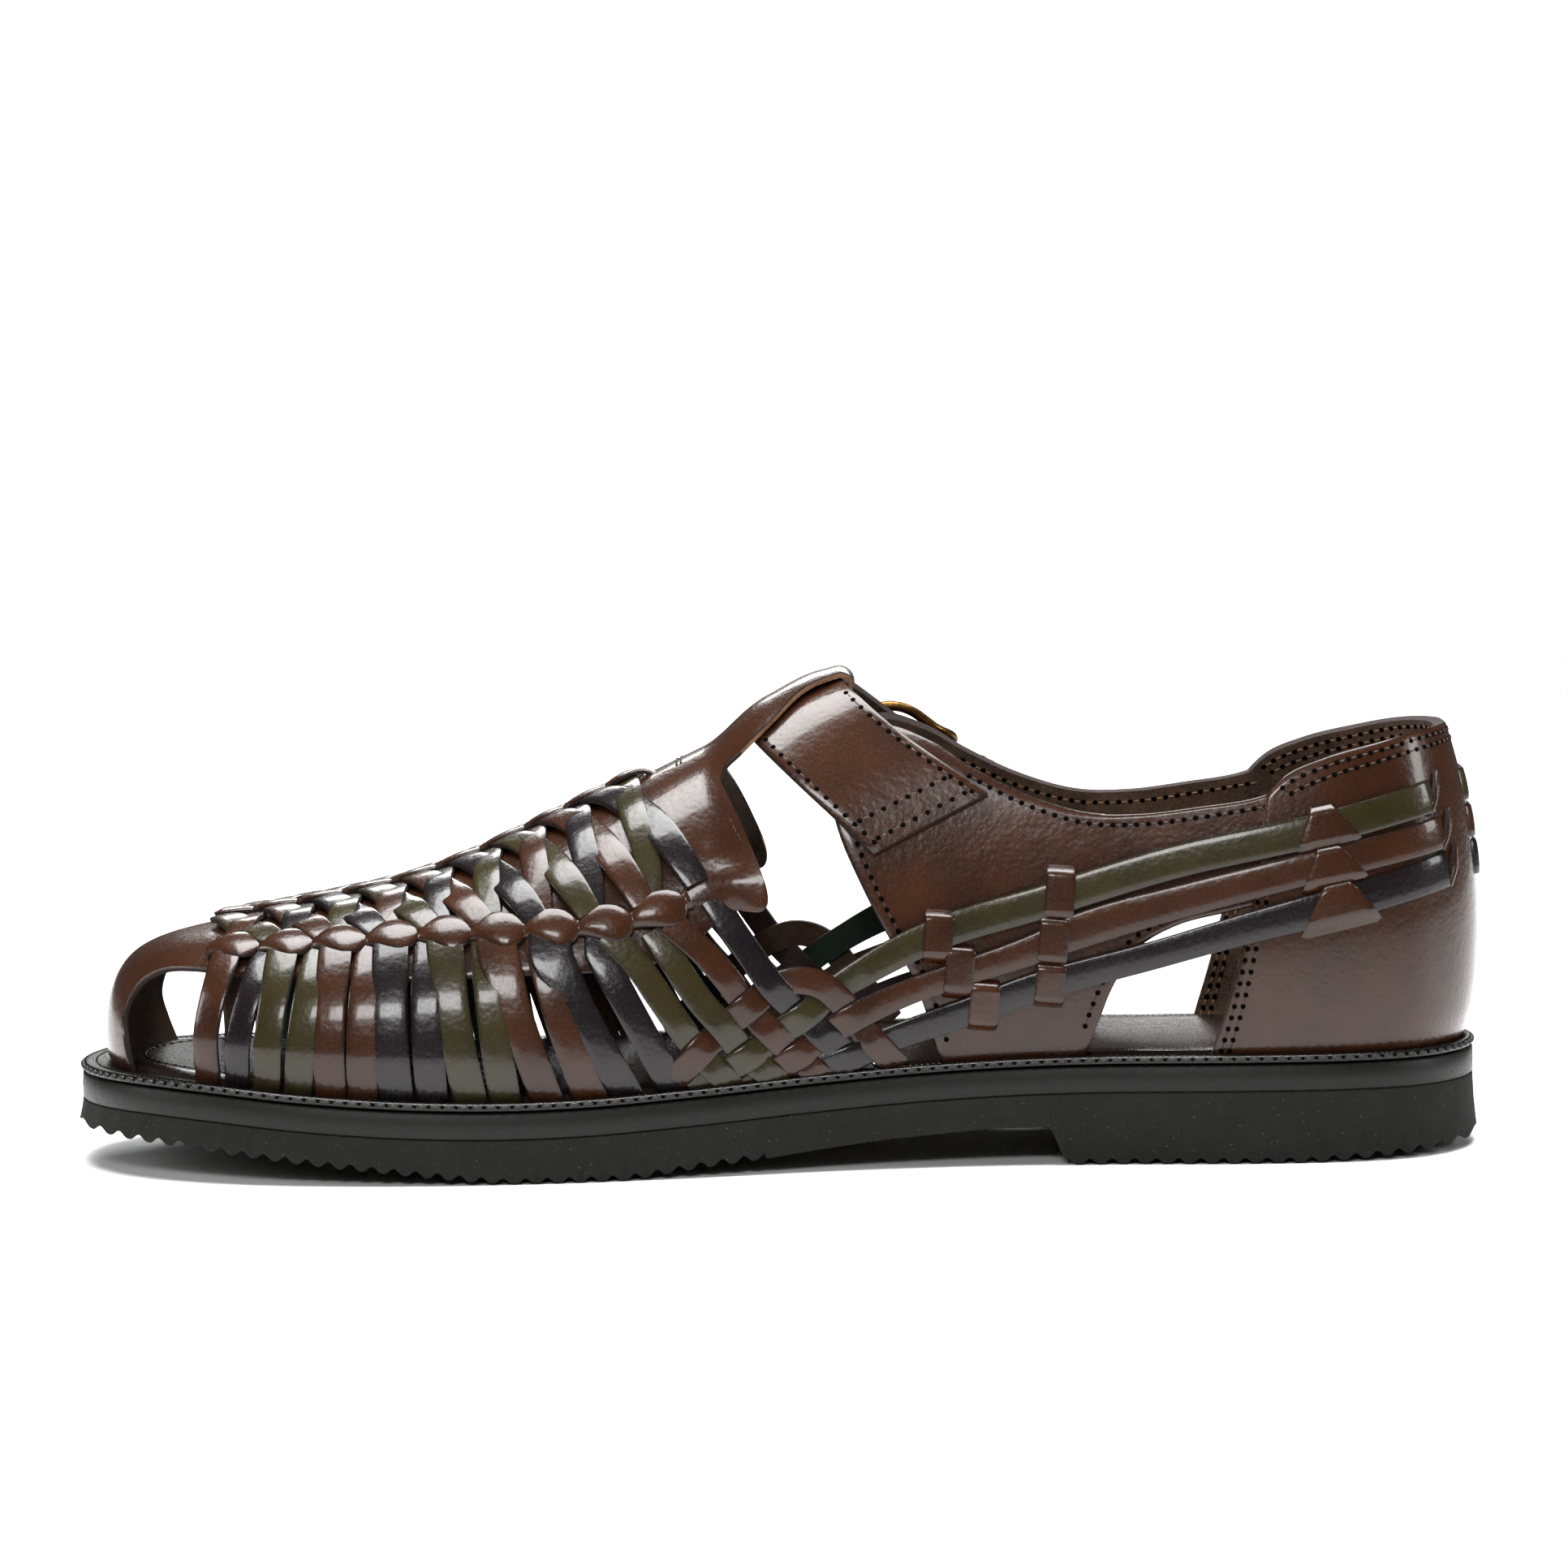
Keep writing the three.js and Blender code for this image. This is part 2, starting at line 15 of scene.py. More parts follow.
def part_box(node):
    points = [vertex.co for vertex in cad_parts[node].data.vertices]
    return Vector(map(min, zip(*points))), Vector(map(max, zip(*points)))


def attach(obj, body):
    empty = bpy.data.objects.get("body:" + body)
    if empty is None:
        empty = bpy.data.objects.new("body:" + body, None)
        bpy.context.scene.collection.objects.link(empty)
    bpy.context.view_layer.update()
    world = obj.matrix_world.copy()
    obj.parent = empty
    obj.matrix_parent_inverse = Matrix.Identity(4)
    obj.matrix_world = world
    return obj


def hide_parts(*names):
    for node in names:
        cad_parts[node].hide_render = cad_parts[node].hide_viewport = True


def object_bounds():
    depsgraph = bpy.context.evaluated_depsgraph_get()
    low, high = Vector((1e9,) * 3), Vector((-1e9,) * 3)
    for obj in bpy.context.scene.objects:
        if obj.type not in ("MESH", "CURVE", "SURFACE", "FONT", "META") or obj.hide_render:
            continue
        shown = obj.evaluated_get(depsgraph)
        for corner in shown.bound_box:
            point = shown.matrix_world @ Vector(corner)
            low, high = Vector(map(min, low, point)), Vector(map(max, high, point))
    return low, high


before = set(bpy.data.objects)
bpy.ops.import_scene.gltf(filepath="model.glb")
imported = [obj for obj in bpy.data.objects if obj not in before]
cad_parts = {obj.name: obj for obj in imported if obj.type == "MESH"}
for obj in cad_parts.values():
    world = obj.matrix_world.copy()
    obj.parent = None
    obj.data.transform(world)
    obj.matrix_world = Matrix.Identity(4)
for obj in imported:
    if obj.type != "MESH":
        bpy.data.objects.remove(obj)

CAD_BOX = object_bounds()
LOG = logging.getLogger("sandal")
BODY = "root"
INNER = -1
OUTER = 1
SIDES = (INNER, OUTER)
Array = np.ndarray
Point = tuple[float, float]


class Leather(Enum):
    """The colours of leather."""

    BROWN = "brown_leather"
    OLIVE = "olive_leather"
    BLACK = "black_leather"


BROWN, OLIVE, BLACK = Leather.BROWN, Leather.OLIVE, Leather.BLACK


# ---- curves and the last


@dataclass(frozen=True)
class Run:
    """A smooth function through a table's points."""

    xs: Array
    ys: Array

    def __call__(self, x: Array) -> Array:
        """Evaluate the function.

        Args:
            x: places along the table.
        Returns:
            The smooth values there.
        """
        xs, ys, x = [np.asarray(part, float) for part in (self.xs, self.ys, x)]
        runs = np.diff(xs)
        rises = np.diff(ys) / runs
        slopes = np.empty_like(ys)
        slopes[1:-1] = (rises[:-1] * runs[1:] + rises[1:] * runs[:-1]) / (runs[:-1] + runs[1:])
        slopes[0] = 1.5 * rises[0] - 0.5 * (slopes[1] if len(xs) > 2 else rises[0])
        slopes[-1] = 1.5 * rises[-1] - 0.5 * (slopes[-2] if len(xs) > 2 else rises[-1])
        i = np.clip(np.searchsorted(xs, x, side="right") - 1, 0, len(xs) - 2)
        t = (x - xs[i]) / runs[i]
        ease = t * t * (3 - 2 * t)
        bend = slopes[i] * t * (1 - t) ** 2 + slopes[i + 1] * t * t * (t - 1)
        return ys[i] + (ys[i + 1] - ys[i]) * ease + runs[i] * bend


def run_of(*rows: Point) -> Run:
    """Return the smooth function through (place, value) rows."""
    table = np.array(rows, float)
    return Run(table[:, 0], table[:, 1])


def unit(vectors: Array) -> Array:
    """Return the vectors at length one."""
    return vectors / np.maximum(np.linalg.norm(vectors, axis=-1, keepdims=True), 1e-9)


def spline(points: Sequence[Sequence[float]], count: int) -> Array:
    """Run a smooth line through points, evenly stepped along its chords.

    Args:
        points: control points of any dimension.
        count: how many points to return.
    Returns:
        The points of the line.
    """
    given = np.array(points, float)
    chords = np.linalg.norm(np.diff(given, axis=0), axis=1)
    knots = np.concatenate([[0], np.cumsum(np.maximum(chords, 1e-6))])
    places = np.linspace(0, knots[-1], count)
    if len(given) == 2:
        return given[0] + (given[1] - given[0]) * (places / knots[-1])[:, None]
    return np.stack([Run(knots, given[:, k])(places) for k in range(given.shape[1])], axis=-1)


def alike(*parts: Array) -> list[Array]:
    """Return numbers or arrays as float arrays of one shape."""
    return np.broadcast_arrays(*[np.asarray(part, float) for part in parts])


def smoothstep(x: Array, low: float, high: float) -> Array:
    """Rise smoothly from 0 at low to 1 at high."""
    t = np.clip((np.asarray(x, float) - low) / (high - low), 0, 1)
    return t * t * (3 - 2 * t)


def stops(count: int, inset: float) -> Array:
    """Return places from 0 to 1 with one close to each end, where an edge is rounded."""
    return np.concatenate([[0], np.linspace(inset, 1 - inset, count), [1]])


@dataclass
class Last:
    """The foot form that the upper is drawn on, in millimetres from the tip of the sole.

    A point on it has a station t, 0 at the toe and 1 at the heel, and a place v across:
    -1 is the inner feather line, 0 the crest and +1 the outer feather line.
    """

    toe_at: float = 6.8
    heel_at: float = 296.3
    toe_lean: float = 23.2
    heel_lean: float = 25.3
    # how much of each end the lean fades over, and how the toe's crest droops
    lean_share: float = 0.33
    droop: float = 0.2
    droop_share: float = 0.4
    # at, inner edge, outer edge, squareness, swell
    sections: tuple = (
        (6.8, -5, -5, 4.5, 1.7), (9.5, -19, 8, 4.3, 1.7), (15, -28, 17.5, 4, 1.7),
        (25, -36.5, 27, 3.5, 1.7), (40, -43.5, 36.5, 3, 1.7), (60, -47.3, 43, 2.7, 1.6),
        (85, -48, 47.5, 2.45, 1.5), (105, -46.5, 49.5, 2.3, 1.5), (130, -42, 48.5, 2.2, 1.5),
        (160, -35, 43, 2.1, 1.5), (190, -30.8, 36.5, 2.1, 1.6), (220, -29.8, 32, 2.2, 1.8),
        (250, -31, 31.5, 2.4, 2.2), (270, -29.5, 30, 2.6, 3), (285, -23.5, 24, 2.85, 4),
        (292, -15.5, 16, 3, 4.6), (296.3, 0, 0, 3, 4.9),
    )
    # at, side, height
    crest: tuple = (
        (30, -5, 50.3), (42, -6, 52.2), (56, -7, 54.8), (70, -7.5, 58), (85, -7.5, 63.3), (100, -7, 70.3),
        (115, -6.5, 77.6), (130, -6, 85), (145, -5, 91.7), (158, -4, 96.3), (166, -3.5, 98.4),
        (180, -3, 102.5), (200, -2, 107.5), (225, -1, 111.5), (250, 0, 113), (271, 0, 112),
    )
    feather_line: Run = run_of(
        (0, 19.5), (15, 19.6), (30, 18.9), (50, 17.2), (70, 15.9), (90, 15.3), (110, 15.6), (130, 16.7),
        (155, 18.4), (180, 20), (205, 21), (240, 21.3), (300, 21.2),
    )
    ledge: Run = run_of((6.8, 6.8), (40, 5.6), (90, 5), (150, 4), (210, 3.7), (296.3, 3.7))
    search: tuple = (181, 91)

    def __post_init__(self) -> None:
        """Make the tables into functions and a coarse map of the inner side."""
        rows = np.array(self.sections)
        knots = self.station(rows[:, 0])
        self.edges = {INNER: Run(knots, rows[:, 1]), OUTER: Run(knots, rows[:, 2])}
        self.square = Run(knots, rows[:, 3])
        self.swell = Run(knots, rows[:, 4])
        ridge = np.array(self.crest)
        self.crest_side = Run(ridge[:, 0], ridge[:, 1])
        self.crest_height = Run(ridge[:, 0], ridge[:, 2])
        t, v = np.meshgrid(
            np.linspace(0, 1, self.search[0]), np.linspace(-1, 0, self.search[1]), indexing="ij"
        )
        self.map_t, self.map_v = t.ravel(), v.ravel()
        self.map_xz = self.point(self.map_t, self.map_v)[:, [0, 2]]

    def station(self, at: Array) -> Array:
        """Return the station of a place along the shoe."""
        share = (np.asarray(at, float) - self.toe_at) / (self.heel_at - self.toe_at)
        return np.arccos(np.clip(1 - 2 * share, -1, 1)) / np.pi

    def at(self, t: Array) -> Array:
        """Return the place along the shoe of a station."""
        return self.toe_at + (self.heel_at - self.toe_at) * (1 - np.cos(np.pi * t)) / 2

    def feather(self, t: Array, side: int, offset: Array = 0.0) -> tuple[Array, Array]:
        """Find the feather line, moved outwards.

        Args:
            t: stations.
            side: INNER or OUTER.
            offset: distance outwards.
        Returns:
            The x and y of each point.
        """
        edge = self.edges[side]
        step = 1e-4
        before, after = np.clip(t - step, 0, 1), np.clip(t + step, 0, 1)
        along = self.at(after) - self.at(before)
        across = edge(after) - edge(before)
        length = np.hypot(along, across)
        tip = np.where(t < 2 * step, -1.0, np.where(t > 1 - 2 * step, 1.0, 0.0))
        out_x = np.where(tip == 0, -side * across / length, tip)
        out_y = np.where(tip == 0, side * along / length, 0)
        return self.at(t) + out_x * offset, edge(t) + out_y * offset

    def point(self, t: Array, v: Array, offset: float = 0.0) -> Array:
        """Find points of the surface.

        Args:
            t: stations.
            v: places across.
            offset: how much larger the form is.
        Returns:
            The points, with x, y and z last.
        """
        t, v = alike(t, v)
        inner, outer = self.feather(t, INNER, offset), self.feather(t, OUTER, offset)
        foot_x = np.where(v < 0, inner[0], outer[0])
        foot_y = np.where(v < 0, inner[1], outer[1])
        at = self.at(t)

        def fade(place: Array) -> Array:
            """Return 1 at an end of the last, fading to 0."""
            share = place / self.lean_share
            return np.where(share < 1, (1 + np.cos(np.pi * share)) / 2, 0)

        top_x = at + self.toe_lean * fade(t) - self.heel_lean * fade(1 - t)
        top_y = self.crest_side(top_x)
        top_z = self.crest_height(top_x) + offset
        foot_z = self.feather_line(at)
        power = 2 / self.square(t)
        turn = (1 - np.minimum(np.abs(v), 1)) * np.pi / 2
        inwards = 1 - np.maximum(np.cos(turn), 0) ** power
        upwards = np.sin(turn) ** power
        droop = np.where(t < self.droop_share, self.droop * np.maximum(top_x - foot_x, 0), 0)
        swell = self.swell(t) * np.sin(np.pi * upwards**0.6)
        reach = np.hypot(foot_x - top_x, foot_y - top_y) + 1e-9
        x = foot_x + (top_x - foot_x) * inwards + (foot_x - top_x) / reach * swell
        y = foot_y + (top_y - foot_y) * inwards + (foot_y - top_y) / reach * swell
        z = foot_z + (top_z - foot_z - droop) * upwards + droop * inwards
        return np.stack([x, y, z], axis=-1)

    def normal(self, t: Array, v: Array) -> Array:
        """Find the outward normals of the surface.

        Args:
            t: stations.
            v: places across.
        Returns:
            Unit normals.
        """
        t, v = alike(t, v)
        step = 2e-3
        along = self.point(np.clip(t + step, 0, 1), v) - self.point(np.clip(t - step, 0, 1), v)
        across = self.point(t, np.clip(v + step, -1, 1)) - self.point(t, np.clip(v - step, -1, 1))
        made = unit(np.cross(along, across))
        out = self.point(t, v, 1.0) - self.point(t, v)
        return made * np.where(np.sum(made * out, axis=-1, keepdims=True) < 0, -1.0, 1.0)

    def locate(self, x: Array, z: Array) -> tuple[Array, Array]:
        """Find where points seen from the inner side lie on the surface.

        Args:
            x: places along the shoe.
            z: heights.
        Returns:
            Their t and v on the inner side.
        """
        x, z = alike(x, z)
        goal = np.stack([x.ravel(), z.ravel()], axis=-1)
        start = [np.argmin(np.sum((self.map_xz - one) ** 2, axis=1)) for one in goal]
        t, v = self.map_t[start], self.map_v[start]
        step = 1e-4
        for _ in range(8):
            here = self.point(t, v)[:, [0, 2]]
            by_t = (self.point(np.minimum(t + step, 1), v)[:, [0, 2]] - here) / step
            by_v = (self.point(t, np.minimum(v + step, -1e-9))[:, [0, 2]] - here) / step
            miss = goal - here
            area = by_t[:, 0] * by_v[:, 1] - by_t[:, 1] * by_v[:, 0]
            area = np.where(np.abs(area) < 1e-3, 1e9, area)
            move_t = (miss[:, 0] * by_v[:, 1] - miss[:, 1] * by_v[:, 0]) / area
            move_v = (by_t[:, 0] * miss[:, 1] - by_t[:, 1] * miss[:, 0]) / area
            t = np.clip(t + np.clip(move_t, -0.01, 0.01), 0, 1)
            v = np.clip(v + np.clip(move_v, -0.02, 0.02), -1, 0)
        return t.reshape(x.shape), v.reshape(x.shape)

    def station_at(self, x: Array, v: Array) -> Array:
        """Find where the surface has the given x at the given v.

        Args:
            x: places along the shoe.
            v: places across.
        Returns:
            The stations.
        """
        x, v = alike(x, v)
        low, high = np.zeros(x.shape), np.ones(x.shape)
        for _ in range(24):
            middle = (low + high) / 2
            short = self.point(middle, v)[..., 0] < x
            low, high = np.where(short, middle, low), np.where(short, high, middle)
        return (low + high) / 2


LAST = Last()


@dataclass(frozen=True)
class Path:
    """A line on the last: stations, places across and heights above the surface."""

    t: Array
    v: Array
    lift: Array

    def points(self) -> Array:
        """Return the line's points."""
        return LAST.point(self.t, self.v) + self.normals() * self.lift[:, None]

    def normals(self) -> Array:
        """Return the surface's normals under the line."""
        return LAST.normal(self.t, self.v)

    def on(self, side: int) -> "Path":
        """Return the line on the given side of the shoe."""
        return Path(self.t, -side * self.v, self.lift)


def seen_from_side(points: Sequence[Sequence[float]], count: int) -> Path:
    """Lay a smooth line through (x, height, lift) points on the inner side.

    Args:
        points: control points as seen from the inner side, with the lift above the last.
        count: how many points the line has.
    Returns:
        The line.
    """
    line = spline(points, count)
    t, v = LAST.locate(line[:, 0], line[:, 1])
    return Path(t, v, line[:, 2])


# ---- making meshes


def shoe_shift() -> tuple[float, float, float]:
    """Work out where the shoe's own millimetres start in the frame, from the outsole's box.

    Returns:
        The shift, in millimetres.
    """
    low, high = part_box("outsole")
    t = np.linspace(0, 1, 400)
    widest = LAST.feather(t, OUTER, LAST.ledge(LAST.at(t)))[1].max()
    return low.x * 1000, high.y * 1000 - widest, 0.0


SHIFT = shoe_shift()


def metres(points: Array) -> Array:
    """Return points given in the shoe's millimetres in the frame's metres."""
    return (np.array(points, float) + SHIFT) / 1000


class Shape:
    """The slabs of one piece, gathered before they become a mesh."""

    def __init__(self) -> None:
        """Start with nothing."""
        self.points: list[Array] = []
        self.faces: list[tuple[int, ...]] = []
        self.finishes: list[int] = []
        self.rims: list[Array] = []
        self.count = 0

    def _add(self, points: Array, rim: Array) -> Array:
        """Keep points.

        Args:
            points: any layout of them, with x, y and z last.
            rim: their distances from the cut edge.
        Returns:
            Their numbers in the same layout.
        """
        flat = points.reshape(-1, 3)
        numbers = np.arange(self.count, self.count + len(flat)).reshape(points.shape[:-1])
        self.points.append(flat)
        self.rims.append(np.broadcast_to(rim, points.shape[:-1]).reshape(-1))
        self.count += len(flat)
        return numbers

    def _quads(self, a: Array, b: Array, finish: int) -> None:
        """Bridge two rows of points with faces.

        Args:
            a: numbers of the first row.
            b: numbers of the second row.
            finish: which of the piece's finishes they get.
        """
        quads = np.stack([a[:-1], a[1:], b[1:], b[:-1]], axis=-1)
        self.faces.extend(map(tuple, quads.tolist()))
        self.finishes.extend([finish] * len(quads))

    def slab(self, top: Array, bottom: Array, rim: Array) -> None:
        """Add a closed slab between two grids of points.

        Args:
            top: the upper grid, rows by columns by 3.
            bottom: the lower grid, of the same size.
            rim: distance of each point from the slab's cut edge.
        """
        upper, lower = self._add(top, rim), self._add(bottom, rim)
        for grid, finish in ((upper, 0), (lower, 2)):
            for row in range(len(grid) - 1):
                self._quads(grid[row], grid[row + 1], finish)
        for line in (np.s_[0, :], np.s_[-1, :], np.s_[:, 0], np.s_[:, -1]):
            self._quads(upper[line], lower[line], 1)

    def solid(self, rings: Array, rim: float = 9.0, closed: bool = False) -> None:
        """Add a solid lofted through rings of points.

        Args:
            rings: sections by points by 3.
            rim: the distance from an edge that all its points are given.
            closed: whether the last ring joins the first.
        """
        numbers = self._add(rings, np.asarray(rim))
        around = np.concatenate([numbers, numbers[:, :1]], axis=1)
        for row in range(len(around) - 1):
            self._quads(around[row], around[row + 1], 0)
        if closed:
            self._quads(around[-1], around[0], 0)
        else:
            for ring in (numbers[0], numbers[-1]):
                self.faces.append(tuple(ring.tolist()))
                self.finishes.append(0)

    def build(self, name: str, finishes: Sequence, node: str = "") -> Object:
        """Make the piece's object.

        Args:
            name: the piece's name.
            finishes: the materials of faces, cut edges and undersides.
            node: the CAD node that the piece stands for.
        Returns:
            The object, riding on the body, with its faces pointing out.
        """
        mesh = bpy.data.meshes.new(name)
        mesh.from_pydata(metres(np.concatenate(self.points)).tolist(), [], self.faces)
        mesh.polygons.foreach_set("material_index", self.finishes)
        rim = mesh.attributes.new("rim", "FLOAT", "POINT")
        rim.data.foreach_set("value", np.concatenate(self.rims).astype(np.float32))
        for material in finishes:
            mesh.materials.append(material)
        tidy_mesh(mesh)
        piece = place_piece(name, mesh)
        if node:
            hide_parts(node)
        return piece

    def build_leather(self, name: str, colour: Leather, node: str = "") -> None:
        """Make the object of a leather piece."""
        self.build(name, FINISHES.leather(colour), node)


def build_colours(name: str, shapes: dict) -> None:
    """Make one piece for each colour of leather, named for it."""
    for colour, shape in shapes.items():
        shape.build_leather(f"{name}_{colour.name.lower()}", colour)


def tidy_mesh(mesh: Mesh) -> None:
    """Merge doubles, turn faces outwards and smooth all but the sharp edges.

    Args:
        mesh: the mesh to work on.
    """
    work = bmesh.new()
    work.from_mesh(mesh)
    bmesh.ops.remove_doubles(work, verts=work.verts, dist=2e-6)
    bmesh.ops.dissolve_degenerate(work, dist=1e-6, edges=work.edges)
    bmesh.ops.recalc_face_normals(work, faces=work.faces)
    work.to_mesh(mesh)
    work.free()
    mesh.shade_smooth()
    mesh.set_sharp_from_angle(angle=math.radians(55))


def place_piece(name: str, mesh: Mesh) -> Object:
    """Put a finished mesh in the scene as a piece.

    Args:
        name: the piece's name.
        mesh: its mesh.
    Returns:
        The new object.
    """
    piece = bpy.data.objects.new(name, mesh)
    bpy.context.scene.collection.objects.link(piece)
    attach(piece, BODY)
    LOG.info("%s: %d faces", name, len(mesh.polygons))
    return piece


@dataclass(frozen=True)
class Strap:
    """The section of a leather strap."""

    thickness: float = 1.1
    crown: float = 0.12
    edge: float = 0.16
    across: tuple = (-1, -0.95, -0.84, -0.45, 0, 0.45, 0.84, 0.95, 1)

    def lay(self, shape: Shape, points: Array, normals: Array, half: Array) -> None:
        """Lay the strap along a line.

        Args:
            shape: the piece that it joins.
            points: the line under the strap's middle.
            normals: which way is up at each point.
            half: half of the strap's width at each point.
        """
        ahead = unit(np.gradient(points, axis=0))
        across = unit(np.cross(normals, ahead))
        up = unit(np.cross(ahead, across))
        u = np.array(self.across, float)
        half = np.broadcast_to(half, len(points))[:, None]
        drop = self.edge * np.maximum(0, (np.abs(u) - 0.8) / 0.2) ** 2
        height = self.thickness + self.crown * (1 - u**2) - drop
        spread = across[:, None] * (u * half)[..., None]
        top = points[:, None] + spread + up[:, None] * height[None, :, None]
        bottom = points[:, None] + spread * 0.98
        shape.slab(top, bottom, (1 - np.abs(u)) * half)

    def along(self, shape: Shape, path: Path, half: Array) -> None:
        """Lay the strap along a line on the last."""
        self.lay(shape, path.points(), path.normals(), half)

    def both(self, shape: Shape, path: Path, half: Array) -> None:
        """Lay the strap along a line of the inner side and its twin on the outer one."""
        for side in SIDES:
            self.along(shape, path.on(side), half)


@dataclass(frozen=True)
class Sheet:
    """A sheet of leather that follows the last between two heights."""

    low: float = -1.3
    high: float = 0.0
    edge: float = 0.25

    def cover(self, shape: Shape, t: Array, v: Array, lift: Array = 0.0) -> None:
        """Cover a grid of places on the last, at a height above it."""
        base, up = LAST.point(t, v), LAST.normal(t, v)
        self.between(shape, base + up * np.asarray(lift)[..., None], up)

    def both(self, shape: Shape, t: Array, v: Array, lift: Array = 0.0) -> None:
        """Cover a grid of places on the inner side and its twin on the outer one."""
        for side in SIDES:
            self.cover(shape, t, -side * v, lift)

    def between(self, shape: Shape, base: Array, up: Array) -> None:
        """Thicken a grid of points.

        Args:
            shape: the piece that the sheet joins.
            base: the grid on the last's surface.
            up: the grid's normals.
        """
        rim = rim_distance(base)
        height = np.full(rim.shape, float(self.high))
        height[[0, -1], :] -= self.edge
        height[1:-1, [0, -1]] -= self.edge
        shape.slab(base + up * height[..., None], base + up * self.low, rim)


def rim_distance(grid: Array) -> Array:
    """Measure each grid point's distance from the grid's nearest border.

    Args:
        grid: points, rows by columns by 3.
    Returns:
        The distances.
    """
    found = np.full(grid.shape[:2], np.inf)
    for axis in (0, 1):
        lengths = np.linalg.norm(np.diff(grid, axis=axis), axis=-1)
        start = np.insert(np.cumsum(lengths, axis=axis), 0, 0, axis=axis)
        end = np.take(start, [-1], axis=axis) - start
        found = np.minimum(found, np.minimum(start, end))
    return found


def coons(bottom: Sequence, top: Sequence, left: Sequence, right: Sequence, size: tuple) -> Array:
    """Fill the area between four border curves.

    Args:
        bottom: points of the lower border, from left to right.
        top: points of the upper border, from left to right.
        left: points of the left border, from bottom to top.
        right: points of the right border, from bottom to top.
        size: how many columns and rows lie inside.
    Returns:
        A grid of points, columns by rows by 2.
    """
    p, w = stops(size[0], 0.006), stops(size[1], 0.012)

    def sample(points: Sequence, places: Array) -> Array:
        """Return the points at places from 0 to 1 along a border."""
        fine = spline(points, 200)
        return np.stack([np.interp(places * 199, np.arange(200), fine[:, k]) for k in (0, 1)], -1)

    low, high, near, far = sample(bottom, p), sample(top, p), sample(left, w), sample(right, w)
    p, w = p[:, None, None], w[None, :, None]
    ruled = low[:, None] * (1 - w) + high[:, None] * w + near[None] * (1 - p) + far[None] * p
    corners = (low[0] * (1 - w) + high[0] * w) * (1 - p) + (low[-1] * (1 - w) + high[-1] * w) * p
    return ruled - corners


# ---- finishes


class Nodes:
    """A short hand for building a node tree."""

    def __init__(self, tree: NodeTree) -> None:
        """Keep the tree."""
        self.tree = tree

    def add(self, kind: str, inputs: dict | None = None, **settings: object) -> Node:
        """Add a node.

        Args:
            kind: the node's type.
            inputs: values or sockets for its inputs, by name or number.
            settings: the node's own properties.
        Returns:
            The node.
        """
        node = self.tree.nodes.new(kind)
        for name, value in settings.items():
            setattr(node, name, value)
        self.feed(node, inputs or {})
        return node

    def first(self, kind: str, inputs: dict, **settings: object) -> NodeSocket:
        """Add a node and return its first output."""
        return self.add(kind, inputs, **settings).outputs[0]

    def effect(self, tree: NodeTree, place: object) -> object:
        """Place a shared effect in a material and return its outputs."""
        return self.add("ShaderNodeGroup", {"Place": place}, node_tree=tree).outputs

    def feed(self, node: Node, inputs: dict) -> None:
        """Set or link a node's inputs.

        Args:
            node: the node.
            inputs: numbers, colours or sockets by the input's name or number.
        """
        for name, value in inputs.items():
            if isinstance(value, NodeSocket):
                self.tree.links.new(value, node.inputs[name])
            else:
                node.inputs[name].default_value = value

    def math(self, operation: str, a: object, b: object = 0.0) -> NodeSocket:
        """Return the result of a Math node."""
        return self.first("ShaderNodeMath", {0: a, 1: b}, operation=operation)

    def times(self, a: object, b: object) -> NodeSocket:
        """Return a times b."""
        return self.math("MULTIPLY", a, b)

    def bump(self, height: object, strength: float, distance: float) -> NodeSocket:
        """Return the normal of a Bump node."""
        inputs = {"Height": height, "Strength": strength, "Distance": distance}
        return self.first("ShaderNodeBump", inputs)

    def mix(self, factor: object, a: object, b: object) -> NodeSocket:
        """Return the mix of two colours."""
        made = self.add("ShaderNodeMix", {0: factor, 6: a, 7: b}, data_type="RGBA")
        return made.outputs[2]

    def span(self, value: object, low: float, high: float, to: tuple = (0, 1)) -> NodeSocket:
        """Return value mapped from low and high to the two ends of to, clamped."""
        inputs = {0: value, 1: low, 2: high, 3: to[0], 4: to[1]}
        return self.first("ShaderNodeMapRange", inputs)

    def noise(self, place: object, scale: float, detail: float = 3, rough: float = 0.5) -> object:
        """Return a noise value between about 0.3 and 0.7."""
        inputs = {"Vector": place, "Scale": scale, "Detail": detail, "Roughness": rough}
        return self.add("ShaderNodeTexNoise", inputs).outputs["Fac"]


def rgb(red: int, green: int, blue: int) -> tuple:
    """Return an 8-bit screen colour as a scene colour."""
    parts = [c / 255 for c in (red, green, blue)]
    return (*[p / 12.92 if p < 0.04045 else ((p + 0.055) / 1.055) ** 2.4 for p in parts], 1)


def group(name: str, inputs: dict, outputs: dict, fill: Callable, kind: str = "Shader") -> NodeTree:
    """Make a node group.

    Args:
        name: the group's name.
        inputs: socket types and default values by name.
        outputs: socket types by name.
        fill: makes the nodes, given the helper and the group's inputs, and returns the results.
        kind: Shader or Geometry.
    Returns:
        The group.
    """
    tree = bpy.data.node_groups.new(name, f"{kind}NodeTree")
    for label, (socket_type, value) in inputs.items():
        socket = tree.interface.new_socket(label, in_out="INPUT", socket_type=socket_type)
        if value is not None:
            socket.default_value = value
    for label, socket_type in outputs.items():
        tree.interface.new_socket(label, in_out="OUTPUT", socket_type=socket_type)
    nodes = Nodes(tree)
    nodes.add("NodeGroupOutput", fill(nodes, nodes.add("NodeGroupInput").outputs))
    return tree


FLOAT, VECTOR = "NodeSocketFloat", "NodeSocketVector"
PLACE_AND_SCALE = {"Place": (VECTOR, None), "Scale": (FLOAT, 900.0)}


